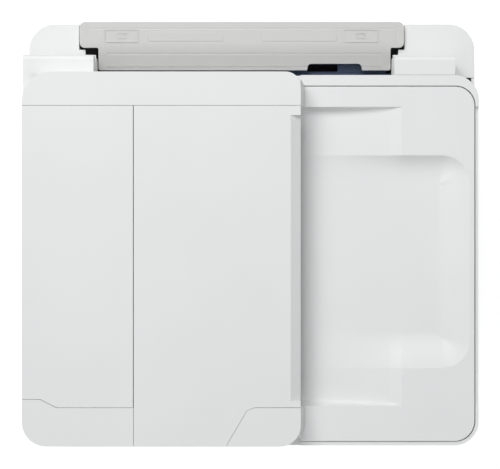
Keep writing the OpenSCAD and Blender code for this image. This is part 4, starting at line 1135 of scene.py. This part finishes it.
@dataclass(frozen=True)
class Lamp:
    """A square soft lamp, with its place and its size in metres and its power in watts."""

    name: str
    place: Triple
    size: float
    power: float

    def build(self) -> None:
        """Adds the lamp, aimed at the printer's middle."""
        data = bpy.data.lights.new(self.name, "AREA")
        data.shape, data.size, data.energy = "SQUARE", self.size, self.power
        lamp = bpy.data.objects.new(self.name, data)
        lamp.location = self.place
        lamp.rotation_euler = (Vector((0, 0, 0.1)) - Vector(self.place)).to_track_quat("-Z", "Y").to_euler()
        bpy.context.scene.collection.objects.link(lamp)


@dataclass
class Studio:
    """A pale floor, soft light from the rear left, and a camera straight above the printer."""

    # The camera: its height in metres, its focal length, and the place that it looks down on
    reach: float = 2.194
    lens: float = 176.7
    centre: Point = (-0.0015, -0.0022)
    # The surround: its tint, its strength at the horizon and overhead, and how fast it rises to that
    sky_tint: Colour = (0.97, 0.985, 1.0)
    sky: Span = (0.05, 0.84)
    sky_rise: float = 2.0
    # The floor: its tone, and the light that it adds for the camera alone, so that it looks white
    floor_tone: float = 0.62
    floor_lift: float = 0.72
    lamps: tuple[Lamp, ...] = (
        Lamp("main_lamp", (-0.5, 1.31, 1.64), 1.12, 24.6),
        Lamp("fill_lamp", (0.9, -1.3, 1.6), 1.6, 0.6),
        Lamp("front_lamp", (-0.3, -1.8, 0.26), 0.8, 8.0),
    )

    def camera(self) -> None:
        """The camera, looking straight down with the front at the bottom."""
        data = bpy.data.cameras.new("camera")
        data.lens, data.sensor_width, data.clip_end = self.lens, 36.0, 20.0
        camera = bpy.data.objects.new("camera", data)
        camera.location = (*self.centre, self.reach)
        bpy.context.scene.collection.objects.link(camera)
        bpy.context.scene.camera = camera

    @staticmethod
    def show_white(tree: Tree, plain: Socket, out: Socket) -> None:
        """Shows white to the camera, to gloss and through glass, and the plain light to everything else.

        Args:
            tree: The world's node tree.
            plain: The plain light's socket.
            out: The surface socket of the output.
        """
        path = tree.nodes.new("ShaderNodeLightPath")
        seen = path.outputs["Is Camera Ray"]
        for ray in ("Is Glossy Ray", "Is Transmission Ray"):
            either = tree.nodes.new("ShaderNodeMath")
            either.operation = "MAXIMUM"
            tree.links.new(seen, either.inputs[0])
            tree.links.new(path.outputs[ray], either.inputs[1])
            seen = either.outputs[0]
        white = tree.nodes.new("ShaderNodeBackground")
        white.inputs["Color"].default_value = (1, 1, 1, 1)
        white.inputs["Strength"].default_value = 1.0
        mix = tree.nodes.new("ShaderNodeMixShader")
        tree.links.new(seen, mix.inputs["Fac"])
        tree.links.new(plain, mix.inputs[1])
        tree.links.new(white.outputs[0], mix.inputs[2])
        tree.links.new(mix.outputs[0], out)

    def world(self) -> None:
        """A white surround, whose light comes mostly from above."""
        world = bpy.data.worlds.new("surround")
        world.use_nodes = True
        bpy.context.scene.world = world
        tree = world.node_tree
        soft = tree.nodes["Background"]
        soft.inputs["Color"].default_value = (*self.sky_tint, 1)
        place = tree.nodes.new("ShaderNodeTexCoord")
        axes = tree.nodes.new("ShaderNodeSeparateXYZ")
        rise = tree.nodes.new("ShaderNodeMath")
        rise.operation, rise.inputs[1].default_value = "POWER", self.sky_rise
        level = tree.nodes.new("ShaderNodeMapRange")
        level.inputs["To Min"].default_value, level.inputs["To Max"].default_value = self.sky
        tree.links.new(place.outputs["Generated"], axes.inputs[0])
        tree.links.new(axes.outputs["Z"], rise.inputs[0])
        tree.links.new(rise.outputs[0], level.inputs["Value"])
        tree.links.new(level.outputs["Result"], soft.inputs["Strength"])
        self.show_white(tree, soft.outputs[0], tree.nodes["World Output"].inputs["Surface"])

    def floor(self) -> None:
        """A wide pale floor that keeps the printer's shadow."""
        Bench.clear()
        bpy.ops.mesh.primitive_plane_add(size=14, location=(0, 0, -0.2 * MM))
        floor = bpy.context.active_object
        floor.name = "floor"
        material = bpy.data.materials.new("pale_floor")
        material.use_nodes = True
        tree = material.node_tree
        shader = tree.nodes["Principled BSDF"]
        shader.inputs["Base Color"].default_value = (self.floor_tone, self.floor_tone, self.floor_tone, 1)
        shader.inputs["Roughness"].default_value = 0.9
        glow = tree.nodes.new("ShaderNodeEmission")
        path = tree.nodes.new("ShaderNodeLightPath")
        lift = tree.nodes.new("ShaderNodeMath")
        lift.operation, lift.inputs[1].default_value = "MULTIPLY", self.floor_lift
        tree.links.new(path.outputs["Is Camera Ray"], lift.inputs[0])
        tree.links.new(lift.outputs[0], glow.inputs["Strength"])
        both = tree.nodes.new("ShaderNodeAddShader")
        tree.links.new(shader.outputs[0], both.inputs[0])
        tree.links.new(glow.outputs[0], both.inputs[1])
        tree.links.new(both.outputs[0], tree.nodes["Material Output"].inputs["Surface"])
        floor.data.materials.append(material)

    def build(self) -> None:
        """Sets up the whole studio."""
        bpy.context.scene.view_settings.view_transform = "Standard"
        self.camera()
        self.world()
        self.floor()
        for lamp in self.lamps:
            lamp.build()


SUB_ASSEMBLIES: tuple[type[SubAssembly], ...] = (
    LowerHousing,
    RearTray,
    PaperPath,
    OperationPanel,
    PrintMechanism,
    Scanner,
    DocumentCover,
    Feeder,
)


def main() -> None:
    """Builds the studio and all the sub-assemblies, in order."""
    logging.basicConfig(level=logging.INFO, format="%(name)s: %(message)s")
    Studio().build()
    palette = Palette(FINISHES)
    for kind in SUB_ASSEMBLIES:
        LOG.info("building %s", kind.__name__)
        kind(palette).build()


if __name__ == "__main__":
    main()
